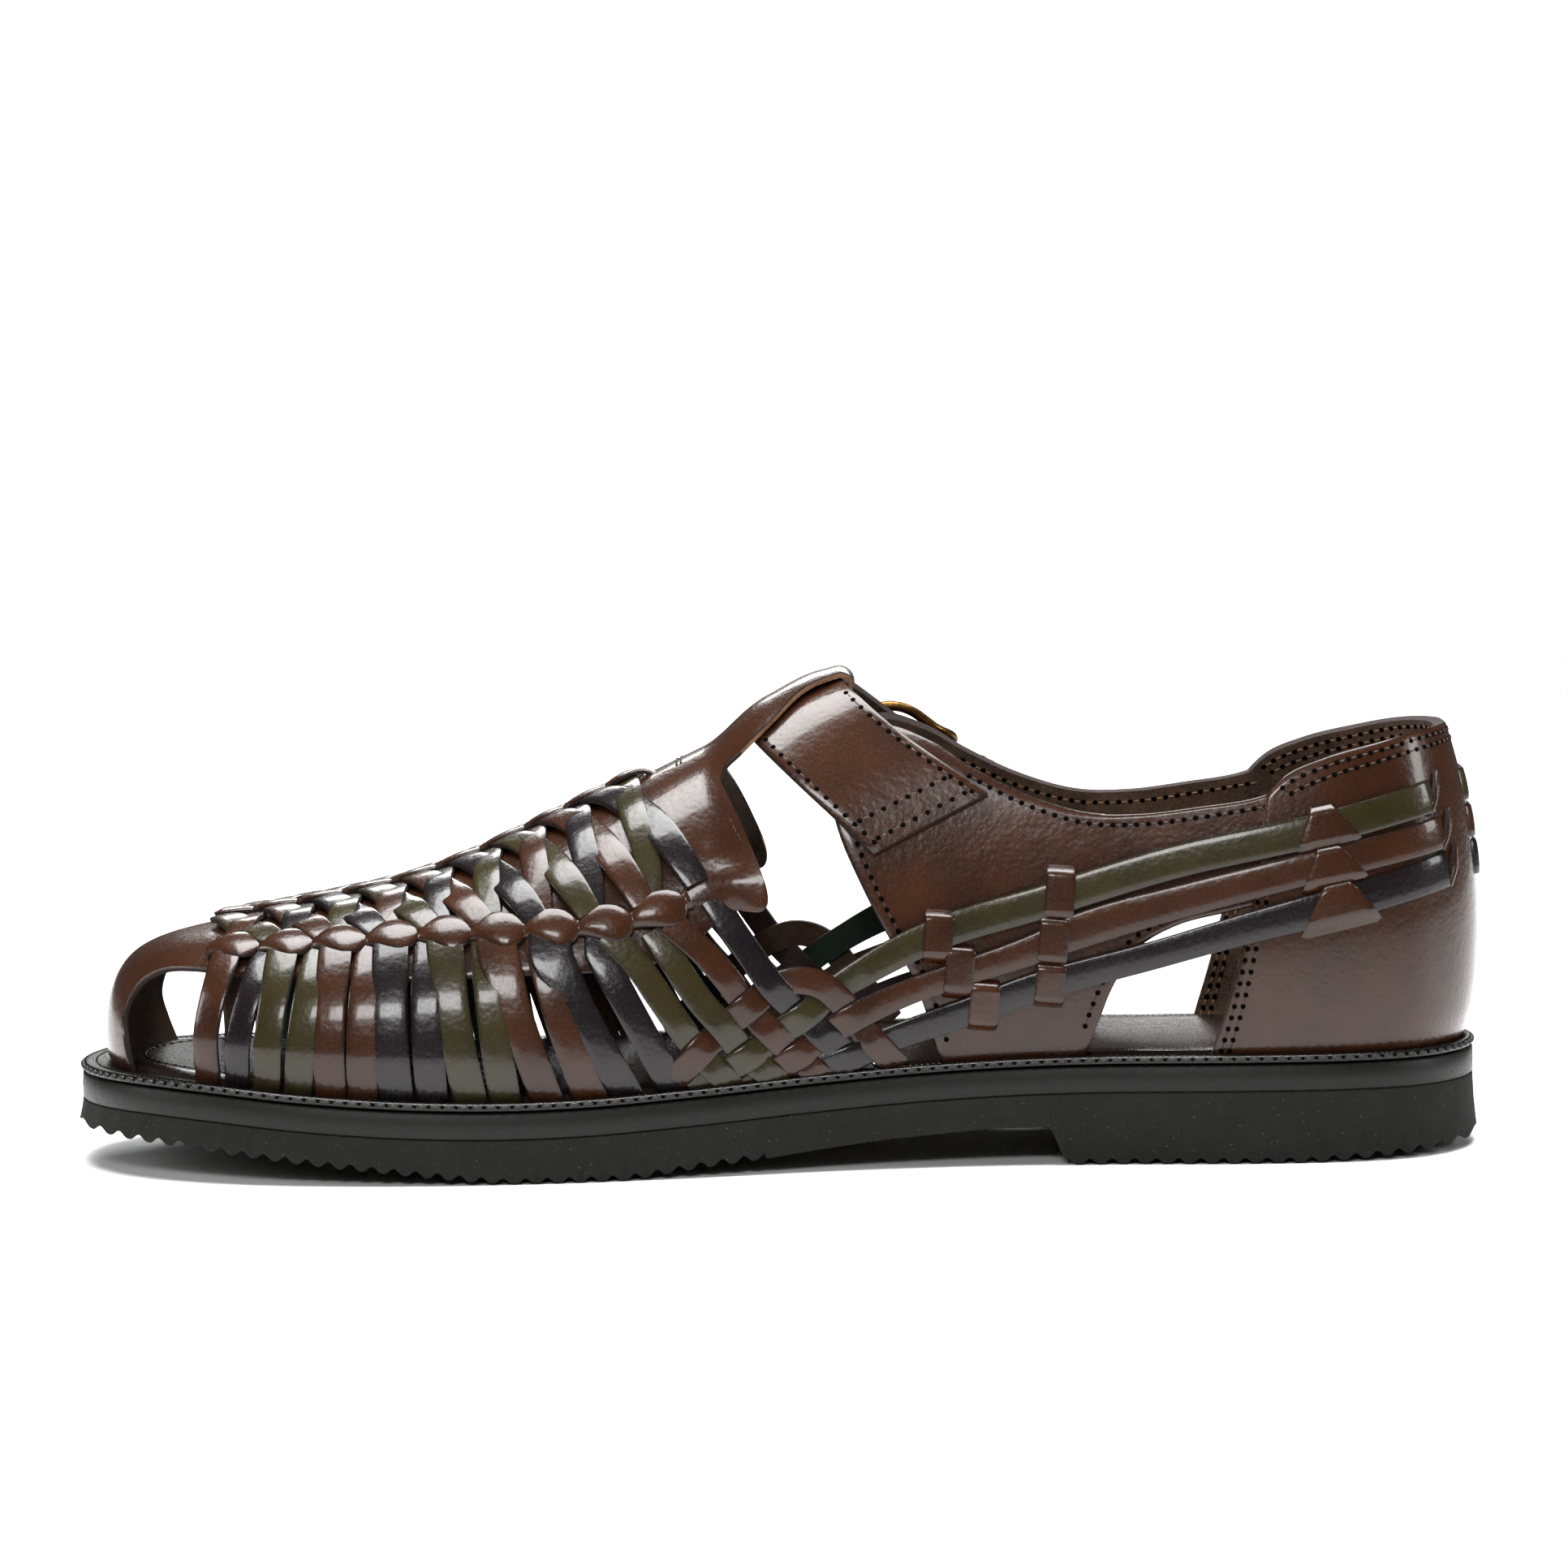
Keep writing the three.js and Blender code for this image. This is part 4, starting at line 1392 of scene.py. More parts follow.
@dataclass
class Vamp:
    """The vamp: toe strip, woven front, wings and the tongue whose end folds into a loop."""

    strap_room: float = 4.4
    tip_rise: float = 1.8
    thickness: float = 1.3
    fold_back: float = 21.0
    raw_from: float = 143.0
    toe_shift: float = 5.0
    columns: int = 190
    rows: int = 25
    # v of the middle line where it runs up the toe's tip
    middle: tuple = (1, 0.78, 0.55, 0.32, 0.14, 0)
    # x and height of the inner edge round the toe
    edge_toe: tuple = (
        (12.3, 20.5), (10.9, 27), (10.5, 32.5), (12.4, 37.4), (15.6, 41), (20.4, 43.2),
    )
    # from the toe back: x at the crest, then x and height of the inner edge
    side: tuple = (
        (34, 27, 43.7), (42, 36.5, 43), (55, 51, 42.6), (70, 66.1, 42.2), (92, 90.7, 42.8),
        (106, 111.9, 43.4), (114, 125.7, 45.2), (119.5, 133.6, 49.6), (123, 139.8, 54.8),
        (126, 146.3, 54.6), (128.5, 147.3, 58.4), (131, 144.5, 64.5), (133.5, 140.6, 72), (136, 138.3, 79),
        (138.8, 139.3, 85.6), (142, 143.4, 89.4), (149, 149.4, 93.4), (157, 157, 97), (164.5, 164.5, 99.6),
    )
    # x and v of the tongue's edge once it lies over the strap
    tongue: tuple = (
        (139.3, -0.27), (145.3, -0.237), (149.4, -0.205), (157.2, -0.115), (164.5, -0.085),
    )

    def edge_places(self, side: int) -> tuple[Array, Array]:
        """Find the vamp's edge at each control column.

        Args:
            side: INNER or OUTER.
        Returns:
            Its t and v, with v as on the inner side.
        """
        toe = np.array(self.edge_toe)
        x = np.concatenate([toe[:, 0], np.array(self.side)[:, 1]])
        z = np.concatenate([toe[:, 1], np.array(self.side)[:, 2]])
        if side == OUTER:
            x[: len(toe)] += self.toe_shift * np.linspace(1, 0.3, len(toe))
        t, v = LAST.locate(x, z)
        along = np.array(self.side)[:, 1]
        tongue = np.array(self.tongue)
        start = len(toe)
        over = np.arange(len(along)) >= len(along) - len(tongue)
        v[start:][over] = Run(tongue[:, 0], tongue[:, 1])(along[over])
        t[start:][over] = LAST.station_at(along[over], v[start:][over])
        return t, v

    def grid(self) -> tuple[Array, Array]:
        """Lay out the vamp's grid, columns from the toe by rows across.

        Returns:
            The t and v of its points.
        """
        crest = np.array(self.side)[:, 0]
        crest_t = LAST.station_at(crest, np.zeros(len(crest)))
        middle_t = np.append(np.zeros(len(self.middle)), crest_t)
        middle_v = np.append(self.middle, np.zeros(len(crest)))
        count = len(middle_t)
        places = stops(self.columns, 0.0012) * (count - 1)
        knots = np.arange(count, dtype=float)
        wide = np.append(np.linspace(0, 1, self.rows)[:-1] ** 0.92, [0.988, 1])
        halves = []
        for side in SIDES:
            edge_t, edge_v = self.edge_places(side)
            lines = [middle_t, middle_v, edge_t, np.abs(edge_v)]
            mt, mv, et, ev = [Run(knots, line)(places)[:, None] for line in lines]
            t = np.clip(mt + (et - mt) * wide, 0, 1)
            v = side * np.clip(mv + (ev - mv) * wide, 0, 1)
            halves.append((t, v))
        (inner_t, inner_v), (outer_t, outer_v) = halves
        return (
            np.concatenate([inner_t[:, ::-1], outer_t[:, 1:]], axis=1),
            np.concatenate([inner_v[:, ::-1], outer_v[:, 1:]], axis=1),
        )

    def lift(self, base: Array, v: Array) -> Array:
        """Find the vamp's height above the last, over the strap and at the wings' humps.

        Args:
            base: points on the last.
            v: their places across.
        Returns:
            The heights.
        """
        over = smoothstep(base[..., 0], 134, 150) * self.strap_room
        over = over + smoothstep(base[..., 0], 147, 161) * self.tip_rise
        swell = np.exp(-(((base[..., 0] - 139) / 6.5) ** 2) - ((base[..., 2] - 60.5) / 3.6) ** 2)
        pinch = np.exp(-(((base[..., 0] - 136) / 5) ** 2) - ((base[..., 2] - 67) / 1.6) ** 2)
        return over + 1.7 * swell * (np.abs(v) > 0.2) - 0.45 * pinch

    def make(self) -> None:
        """Make the vamp with the loop at its end."""
        t, v = self.grid()
        base, up = LAST.point(t, v), LAST.normal(t, v)
        base = base + up * self.lift(base, v)[..., None]
        base, up = self.add_loop(base, up)
        shape = Shape()
        Sheet(-self.thickness, 0).between(shape, base, up)
        finishes = [*FINISHES.leather(BROWN), FINISHES.raw_edge]
        piece = shape.build("vamp", finishes, "upper")
        turned = metres((self.raw_from, 0, 0))[0]
        for polygon in piece.data.polygons:
            if polygon.material_index == 1 and polygon.center.x > turned:
                polygon.material_index = 3

    def add_loop(self, base: Array, up: Array) -> tuple[Array, Array]:
        """Fold the tongue's end round the strap and back under it.

        Args:
            base: the vamp's grid.
            up: its normals.
        Returns:
            The grid and normals with the fold added.
        """
        end, rise = base[-1], up[-1]
        ahead = unit(end - base[-3])
        ahead = unit(ahead - rise * np.sum(ahead * rise, axis=-1, keepdims=True))
        radius = (self.strap_room + self.tip_rise + 0.4) / 2
        rows, normals = [], []
        for angle in np.linspace(0, np.pi, 13)[1:]:
            rows.append(end + ahead * radius * np.sin(angle) - rise * radius * (1 - np.cos(angle)))
            normals.append(rise * np.cos(angle) + ahead * np.sin(angle))
        low, face = rows[-1], normals[-1]
        for share in np.linspace(0, 1, 12)[1:]:
            step = -ahead * self.fold_back * share
            sink = np.array([0, 0, -7.2]) * share**1.1 - face * 0.2 * share
            rows.append(low + step * np.array([1, 1, 0.0]) + sink)
            normals.append(face)
        return np.concatenate([base, np.stack(rows)]), np.concatenate([up, np.stack(normals)])


@dataclass
class Weave:
    """The two scalloped bands and the strips woven between them."""

    long_half: float = 2.95
    leaf_half: float = 2.7
    steps: int = 34
    spine_start: float = 30.2
    # x of each long strip's right edge at the spine and at the near band
    long_tops: tuple = (40.6, 51.5, 61.7, 71.8, 81.5, 92.1, 101.3, 110.5, 120.7)
    long_feet: tuple = (38.5, 50.9, 60.6, 70.6, 81.5, 92.0, 102.7, 113.7, 125.9)
    # x of each leaning strip at the spine
    leaf_tops: tuple = (31, 42.6, 53.2, 62.9, 72.4, 82.5, 91.8, 101.4, 110.6)

    def make(self) -> None:
        """Make the strips and the bands of both sides."""
        shapes = {colour: Shape() for colour in Leather}
        for k in range(len(self.long_tops)):
            self.long_strip(shapes, k)
            self.leaf(shapes, k)
        build_colours("top_weave", shapes)
        self.near_bands()
        self.spine_band()

    def long_strip(self, shapes: dict, k: int) -> None:
        """Lay a strip that crosses straight from the spine to the near band.

        Args:
            shapes: the pieces by colour.
            k: the strip's number.
        """
        top, foot = self.long_tops[k] - self.long_half, self.long_feet[k] - self.long_half
        foot_v = float(BAND_PLACE(foot)) + 0.02
        rows = (
            (top, -0.015, 0.1),
            (top * 0.85 + foot * 0.15, foot_v * 0.17, 0.35),
            (top * 0.55 + foot * 0.45, foot_v * 0.5, 1.25),
            (foot, foot_v * 0.84, 0.2),
            (foot, foot_v, 0.0),
        )
        path = across_weave(rows, self.steps)
        Strap().both(shapes[LONG_COLOURS[k % 3]], path, self.long_half)

    def leaf(self, shapes: dict, k: int) -> None:
        """Lay a strip that leans forwards over and under the long ones.

        Args:
            shapes: the pieces by colour.
            k: the strip's number.
        """
        foot = NEAR_START + NEAR_PITCH * (k + 1) + 2.4
        top = self.leaf_tops[k]
        foot_v = float(BAND_PLACE(foot)) + 0.03
        rows = (
            (foot, foot_v, 1.15),
            (foot + (top - foot) * 0.22, foot_v * 0.8, 1.25),
            (foot + (top - foot) * 0.55, foot_v * 0.47, 0.0),
            (foot + (top - foot) * 0.86, foot_v * 0.16, 1.15),
            (top, -0.02, 1.0),
        )
        swell = np.sin(np.pi * np.linspace(0, 1, self.steps)) ** 0.8
        path = across_weave(rows, self.steps)
        Strap().both(shapes[LEAF_COLOURS[k % 3]], path, self.leaf_half + 0.75 * swell)

    def near_bands(self) -> None:
        """Make the scalloped band above the side straps on each side."""
        shape = Shape()
        x = np.linspace(NEAR_START, NEAR_START + 9.08 * NEAR_PITCH, 330)
        share = ((x - NEAR_START) / NEAR_PITCH) % 1
        hump = np.sin(np.pi * share)
        upper = 1.9 + 2.1 * hump**0.75
        lower = 1.9 + 2.3 * np.sin(np.pi * share**1.9) ** 0.8
        v = BAND_PLACE(x)
        path = Path(LAST.station_at(x, v), v, 0.75 + hump**0.6)
        for side in SIDES:
            self.pillow(shape, path.on(side), upper, lower, side)
        shape.build_leather("near_bands", BROWN)

    def pillow(self, shape: Shape, path: Path, upper: Array, lower: Array, side: int) -> None:
        """Lay a band whose two edges swing separately.

        Args:
            shape: the piece that it joins.
            path: its middle line.
            upper: width towards the crest.
            lower: width towards the sole.
            side: INNER or OUTER.
        """
        points, normals = path.points(), path.normals()
        ahead = unit(np.gradient(points, axis=0))
        across = unit(np.cross(normals, ahead)) * -side
        if across[len(across) // 2, 2] < 0:
            across = -across
        u = np.array([-1, -0.94, -0.8, -0.5, -0.2, 0.2, 0.5, 0.8, 0.94, 1])
        width = np.where(u < 0, lower[:, None] * u, upper[:, None] * u)
        dome = 0.75 * (1 - np.abs(u) ** 2.6)
        spread = across[:, None] * width[..., None]
        top = points[:, None] + spread + normals[:, None] * (0.35 + dome)[None, :, None]
        bottom = points[:, None] + spread - normals[:, None] * 0.35
        shape.slab(top, bottom, (1 - np.abs(u)) * np.minimum(upper, lower)[:, None])

    def spine_band(self) -> None:
        """Make the scalloped band along the crest."""
        shape = Shape()
        notches = np.array(SPINE_NOTCHES)
        x = np.linspace(notches[0] - 3, notches[-1] + 3, 300)
        place = np.interp(x, notches, np.arange(len(notches), dtype=float))
        hump = np.abs(np.sin(np.pi * place))
        hump = np.where((x > notches[0]) & (x < notches[-1]), hump, 0)
        x = np.maximum(x, self.spine_start)
        keep = np.concatenate([[True], np.diff(x) > 0.01])
        x, hump = x[keep], hump[keep]
        rise = 0.85 + 0.85 * hump**0.55 - 2.2 * smoothstep(x - notches[-1], 0, 2.6)
        path = Path(LAST.station_at(x, 0 * x), 0 * x, rise)
        Strap(0.9, 0.35).along(shape, path, 2.1 + 1.3 * hump)
        shape.build_leather("spine_band", BROWN)


@dataclass
class SideStraps:
    """The straps from the near band down to the welt."""

    steps: int = 44
    bow: float = 0.5
    toe_bow: float = 1.6
    on_top: float = 0.95
    # x of each strap's two edges at the foot, then at the top; every other one lies on top
    rows: tuple = (
        (27.1, 32.9, 31.2, 37.8, BROWN), (33.5, 38.9, 39.8, 45.6, BLACK), (39.4, 45.5, 42.9, 49.7, OLIVE),
        (46.1, 52.2, 50.6, 56.6, OLIVE), (52.9, 59.5, 53.8, 60.9, BROWN), (59.7, 66.2, 61.4, 67.6, BROWN),
        (66.4, 73.7, 65.1, 72.7, BLACK), (74.3, 80.9, 73.6, 80, BLACK), (82.3, 89.3, 76.4, 84.2, OLIVE),
        (89.8, 96.3, 85.6, 92, OLIVE), (98.6, 105.3, 86.9, 95.6, BROWN), (107.4, 114.7, 97, 103.4, BROWN),
        (115.6, 122.2, 97.8, 107, BLACK), (125.7, 131.9, 109.4, 115.6, BLACK),
    )

    def make(self) -> None:
        """Make the straps of both sides, one piece for each colour."""
        shapes = {colour: Shape() for colour in Leather}
        for number, (foot_from, foot_to, top_from, top_to, colour) in enumerate(self.rows):
            foot, top = (foot_from + foot_to) / 2, (top_from + top_to) / 2
            share = np.linspace(0, 1, self.steps)
            top_v = float(BAND_PLACE(top)) - 0.02
            v = top_v + (-1 - top_v) * share
            top_z = LAST.point(LAST.station_at(top, top_v), top_v)[2]
            foot_z = float(LAST.feather_line(foot))
            z = LAST.point(LAST.station_at(foot, v), v)[:, 2]
            down = np.clip((top_z - z) / (top_z - foot_z), 0, 1)
            bow = self.toe_bow if number < 2 else self.bow
            x = top + (foot - top) * down - bow * np.sin(np.pi * down)
            start = self.on_top if number % 2 == 0 else 0.0
            lift = start + (0.75 - start) * smoothstep(share, 0.0, 0.45)
            lift = lift + 0.25 * np.sin(np.pi * share) - 1.25 * smoothstep(share, 0.8, 1.0)
            width_top, width_foot = (top_to - top_from) / 2, (foot_to - foot_from) / 2
            half = width_top + (width_foot - width_top) * smoothstep(share, 0.1, 0.6)
            path = Path(LAST.station_at(x, v), v, lift)
            Strap(1.05, 0.14).both(shapes[colour], path, half)
        build_colours("side_straps", shapes)


@dataclass
class WaistWeave:
    """The crossed straps at the waist, from which the back straps start."""

    half: float = 2.9
    # straps that run down to the welt: colour, then x, height and lift of each point
    down: tuple = (
        (OLIVE, (
            (114.2, 50.8, 0.9), (120.5, 44.3, 0.8), (125.2, 37.4, 0.8), (129.6, 30.9, 0.9),
            (133, 26.4, 0.1), (137.4, 21.3, 1.35), (140.4, 17.4, 0.2),
        )),
        (OLIVE, (
            (123.8, 51.4, 0), (127.6, 45.4, 0.7), (133.2, 37, 0.8), (138.2, 31, 1.35), (143.1, 24.9, 0.1),
            (147.7, 20.8, 1.35), (150.4, 17.8, 0.2),
        )),
        (BROWN, (
            (127, 53, 0.9), (134.2, 46.7, 0.9), (138.9, 41.2, 0.9), (143.4, 35.2, 0.1), (148.4, 29.3, 1.35),
            (153.6, 24.6, 0.1), (157.4, 20.9, 1.35), (160.2, 18, 0.2),
        )),
        (BLACK, (
            (136.4, 57.6, 0.1), (140.2, 51.4, 0.7), (144, 45.8, 0.8), (148.5, 39.2, 1.35), (155, 33, 0.1),
            (159.6, 28.3, 1.35), (164.9, 23.9, 0.1), (168.4, 19.4, 0.2),
        )),
    )
    # the strap that turns at the selvedge and runs down again
    turning: tuple = (
        (128, 20.8, 0.1), (133, 26.2, 1.35), (138.2, 31.1, 0.1), (143.4, 35.2, 1.35), (148.3, 38.8, 0.1),
        (153.4, 40.4, 0.9), (158.6, 39.3, 1.4), (162.8, 35.9, 1), (165.7, 32.2, 0.1), (170.3, 26.6, 1.35),
        (174.8, 21.4, 0.2),
    )

    def make(self) -> None:
        """Make the weave of both sides."""
        shapes = {colour: Shape() for colour in Leather}
        for colour, rows in self.down:
            self.lay(shapes[colour], rows)
        self.lay(shapes[BROWN], self.turning)
        build_colours("waist_weave", shapes)

    def lay(self, shape: Shape, rows: Sequence) -> None:
        """Lay one strap on both sides."""
        Strap(1.05, 0.1).both(shape, seen_from_side(rows, 90), self.half)


# ---- quarters, counter and straps

COLLAR = (
    (166, 88), (172, 92.5), (182.5, 89.6), (191, 84.3), (203.5, 78), (216.6, 74.2), (227, 74), (240, 75.5),
    (253.5, 77.6),
)
QUARTER_FRONT = (
    (185, 19.9), (183.2, 26.4), (181.1, 33.6), (178, 41.6), (173.9, 48.5), (167.8, 60.5), (163, 72.4),
    (161.5, 80), (164.5, 87),
)
REAR_GAP = (
    (213.5, 21), (217, 28), (220.7, 37.2), (226, 45.5), (234.3, 50.4), (245, 53.2), (258, 56),
)
COUNTER_TOP = ((253.5, 77.6), (257.5, 81.5), (266, 85.2), (277, 88), (288, 90.3), (297, 91.2))
COUNTER_FRONT = ((241.4, 21.5), (244.6, 32), (247.5, 44.5), (250.5, 58), (252.4, 70), (253.5, 77.6))


def sew_through(name: str, paths: Sequence[Path], face: float, lining: float) -> None:
    """Sew rows on both sides of the shoe that show on the face and on the lining.

    Args:
        name: the start of the two pieces' names.
        paths: lines on the inner side.
        face: height of the outside's stitches.
        lining: height of the lining's stitches.
    """
    rows = [path.on(side) for path in paths for side in SIDES]
    outside = [seam_line(row, face) for row in rows]
    Seam().sew(f"{name}_stitches", outside, FINISHES.thread)
    inside = [seam_line(row, lining) for row in rows]
    Seam().sew(f"{name}_lining_stitches", inside, FINISHES.tan_thread)


@dataclass
class Quarters:
    """The side panels between the ankle strap and the heel counter."""

    under_counter: Point = (258, 79.5)
    size: tuple = (64, 34)
    seam_inset: float = 2.3

    def make(self) -> None:
        """Make both quarters and their seams."""
        bottom = [(185, 19.9), (195, 20.6), (205, 21), *REAR_GAP]
        right = [REAR_GAP[-1], (258.5, 68), self.under_counter]
        top = [QUARTER_FRONT[-1], *COLLAR[1:-1], (252, 77.4), self.under_counter]
        grid = coons(bottom, top, QUARTER_FRONT, right, self.size)
        t, v = LAST.locate(grid[..., 0], grid[..., 1])
        shape = Shape()
        Sheet(-2.3, -0.15).both(shape, t, v)
        shape.build("quarters", FINISHES.leather(BROWN, lined=True))
        self.seams()

    def seams(self) -> None:
        """Sew the collar's and the front edge's rows, outside and inside."""
        inset = self.seam_inset
        collar = [(x, z - inset, 0) for x, z in COLLAR[3:]]
        front = [(x + inset, z + 0.4, 0) for x, z in QUARTER_FRONT[1:7]]
        rear = [(x - inset * 0.9, z + inset * 0.5, 0) for x, z in REAR_GAP[1:-1]]
        paths = [seen_from_side(rows, 90) for rows in (collar, front, rear)]
        sew_through("quarter", paths, -0.1, -2.35)


@dataclass
class Counter:
    """The heel counter: one piece of leather round the heel, lined with suede."""

    size: tuple = (70, 30)
    seam_insets: tuple = (1.5, 3.3)
    seam_drop: float = 0.0125

    def top_edge(self) -> Run:
        """Find the top edge.

        Returns:
            Its distance from the crest in v, as a function of t.
        """
        line = spline(COUNTER_TOP, 40)
        t, v = LAST.locate(line[:, 0], line[:, 1])
        keep = np.concatenate([[True], np.diff(t) > 1e-3])
        return Run(np.append(t[keep], 1.0001), np.append(np.abs(v[keep]), abs(v[keep][-1])))

    def make(self) -> None:
        """Make the counter and its seams."""
        line = spline(COUNTER_FRONT, 60)
        front_t, front_v = LAST.locate(line[:, 0], line[:, 1])
        front_v = -front_v
        top = self.top_edge()
        w = stops(self.size[1], 0.01)
        columns = stops(2 * self.size[0] + 1, 0.002) * 2 - 1
        edge_v = 1 + (front_v[-1] - 1) * w
        edge_t = np.interp(-edge_v, -front_v, front_t)
        t = 1 + (edge_t[None] - 1) * np.abs(columns)[:, None]
        v = 1 + (top(t) - 1) * w[None]
        v = v * np.where(columns < 0, -1, 1)[:, None]
        shape = Shape()
        Sheet(-2.4, 0.25).cover(shape, t, v)
        shape.build("counter", FINISHES.leather(BROWN, lined=True), "heel_counter")
        self.seams()

    def seams(self) -> None:
        """Sew two staggered rows along the front and top edges, outside and inside."""
        top = self.top_edge()
        paths = []
        for inset in self.seam_insets:
            paths.append(seen_from_side([(x + inset, z, 0) for x, z in COUNTER_FRONT[:-1]], 60))
            t = np.linspace(LAST.station(256 + inset), 1, 70)
            paths.append(Path(t, -top(t) - inset * self.seam_drop, 0 * t))
        sew_through("counter", paths, 0.27, -2.45)


@dataclass
class BackStraps:
    """Three straps from the waist's weave round the heel, with their keepers and flaps."""

    # x, height and half width of each strap, from the welt to its slot
    olive: tuple = (
        (130.8, 18.5, 2.85), (137.4, 21.5, 2.85), (143.1, 24.7, 2.85), (148.6, 28.8, 2.9), (155.2, 33, 2.9),
        (160.4, 37, 2.9), (166, 40.6, 3), (173, 44.5, 3.3), (180.7, 48.1, 3.4), (206.7, 55.8, 3.5),
        (236.1, 64.3, 3.5), (264.1, 70.2, 3.4), (281, 74.4, 3.4), (290, 76.8, 3.5),
    )
    brown: tuple = (
        (142.9, 18.3, 2.85), (147.8, 21, 2.85), (153.7, 24.6, 2.85), (159.3, 28.4, 2.85),
        (164.5, 31.7, 2.9), (171.4, 34.9, 2.8), (179.6, 38, 2.7), (185.5, 39.9, 2.7), (205.3, 46.2, 3.2),
        (212.1, 48.9, 3.6), (236.1, 55.8, 3.5), (263.7, 62.6, 3.3), (281, 66.4, 3.3), (292.3, 69, 3.5),
    )
    black: tuple = (
        (151.6, 18.8, 2.8), (157.1, 20.6, 2.8), (165.3, 23.9, 2.8), (171.9, 26.6, 2.8), (176.9, 28.6, 2.8),
        (184.5, 31, 2.9), (190.6, 33, 2.9), (204.6, 37.8, 3), (227.3, 43.7, 3), (251.8, 50.6, 3.3),
        (266.2, 54.1, 3.6), (281, 58, 3.6), (293.7, 61.3, 3.7),
    )
    # x and lift of each strap where it crosses the waist's weave
    olive_lifts: tuple = (
        (131, 0.1), (137.4, 0.1), (143.1, 1.35), (148.6, 0.1), (155.2, 1.35), (160.4, 0.1), (168, 0.5),
    )
    brown_lifts: tuple = (
        (143, 0.1), (147.8, 0.1), (153.7, 1.35), (159.3, 0.1), (164.5, 1.45), (170, 1.1), (180, 0.4),
    )
    black_lifts: tuple = (
        (151.6, 0.1), (157.1, 0.1), (165.3, 1.35), (171.3, 0.1), (178, 0.4), (186, 0.3),
    )
    # middle x, low height and high height of each keeper
    keepers: tuple = (
        (183.8, 43.7, 53.6), (188.2, 36.2, 46.5), (193.4, 29.3, 38.8), (209.8, 51.7, 62.6),
        (208.3, 42.5, 52.3), (207.5, 34.2, 42.4),
    )
    # apex, left foot and right foot of each flap
    flaps: tuple = (
        ((265, 75.3), (259.2, 63.5), (275.2, 66.5)),
        ((266.2, 67.1), (260.4, 55.8), (276.4, 58.7)),
        ((268, 59.5), (260, 46.6), (278.6, 50.6)),
    )
    # top and foot of the raised lip of each slot
    lips: tuple = (
        ((290, 80.9), (288.2, 72.7)),
        ((292.6, 73), (290.8, 65.1)),
        ((293.9, 65.6), (292.4, 57.4)),
    )
    back_half: float = 6.5
    over_counter: float = 250

    def make(self) -> None:
        """Make the straps, keepers and flaps."""
        for colour in Leather:
            name = colour.name.lower()
            shape = Shape()
            self.lay(shape, getattr(self, name), getattr(self, f"{name}_lifts"))
            shape.build_leather(f"back_strap_{name}", colour, f"heel_strap_{name}")
        self.make_keepers()
        self.make_flaps()

    def lay(self, shape: Shape, rows: Sequence, lifts: Sequence) -> None:
        """Lay a strap along both sides to its slots, and its stretch across the back.

        Args:
            shape: the piece.
            rows: x, height and half width along the strap.
            lifts: x and lift where it crosses the waist's weave.
        """
        x, z, half = spline(rows, 240).T
        t, v = LAST.locate(x, z)
        lift = np.where(x < lifts[-1][0], run_of(*lifts)(x), lifts[-1][1])
        lift = np.where(x > self.over_counter, np.maximum(lift, 0.3), lift)
        end = rows[-1][0]
        lift = lift - 2.2 * smoothstep(x, end - 2.2, end)
        strap = Strap(1.1, 0.2)
        strap.both(shape, Path(t, v, lift), half)
        side_t = np.linspace(float(LAST.station_at(end + 1, v[-1])), 1, 24)
        t = np.concatenate([side_t, side_t[-2::-1]])
        v = np.where(np.arange(47) < 24, v[-1], -v[-1])
        reach = np.abs(LAST.point(t, v)[:, 1])
        rise = 0.05 - 2.0 * smoothstep(reach, self.back_half - 1.6, self.back_half + 0.8)
        strap.along(shape, Path(t, v, rise), half[-1])

    def make_keepers(self) -> None:
        """Make the small loops that hold the straps to the quarters."""
        shape = Shape()
        for x, low, high in self.keepers:
            share = stops(34, 0.02)
            height = low - 0.5 + (high - low + 1.0) * share
            t, v = LAST.locate(x + 0.9 * (share - 0.5), height)
            hump = smoothstep(share, 0, 0.2) * (1 - smoothstep(share, 0.82, 1))
            Strap(1.0, 0.05, 0.2).both(shape, Path(t, v, 2.55 * hump - 1.3), 3.1)
        shape.build_leather("strap_keepers", BROWN)

    def make_flaps(self) -> None:
        """Make the pointed flaps cut from the counter that the straps pass under."""
        shape = Shape()
        share = stops(16, 0.03)
        across = np.linspace(-1, 1, 13)
        for apex, left, right in self.flaps:
            apex, left, right = np.array(apex), np.array(left), np.array(right)
            base = left + (right - left) * ((across[None, :, None] + 1) / 2)
            blunt = apex + (right - left) * 0.14 * across[None, :, None]
            grid = base + (blunt - base) * share[:, None, None]
            t, v = LAST.locate(grid[..., 0], grid[..., 1])
            lift = 0.1 + 2.0 * smoothstep(share, 0, 0.34) - 0.9 * smoothstep(share, 0.85, 1)
            lift = lift[:, None] + 0 * across
            Sheet(-0.9, 0, 0.3).both(shape, t, v, lift)
        for top, foot in self.lips:
            middle = (np.array(top) + foot) / 2
            path = seen_from_side([(*foot, 0.2), (*middle, 0.9), (*top, 0.2)], 20)
            Strap(1.0, 0.3).both(shape, path, 0.65)
        shape.build_leather("counter_flaps", BROWN)


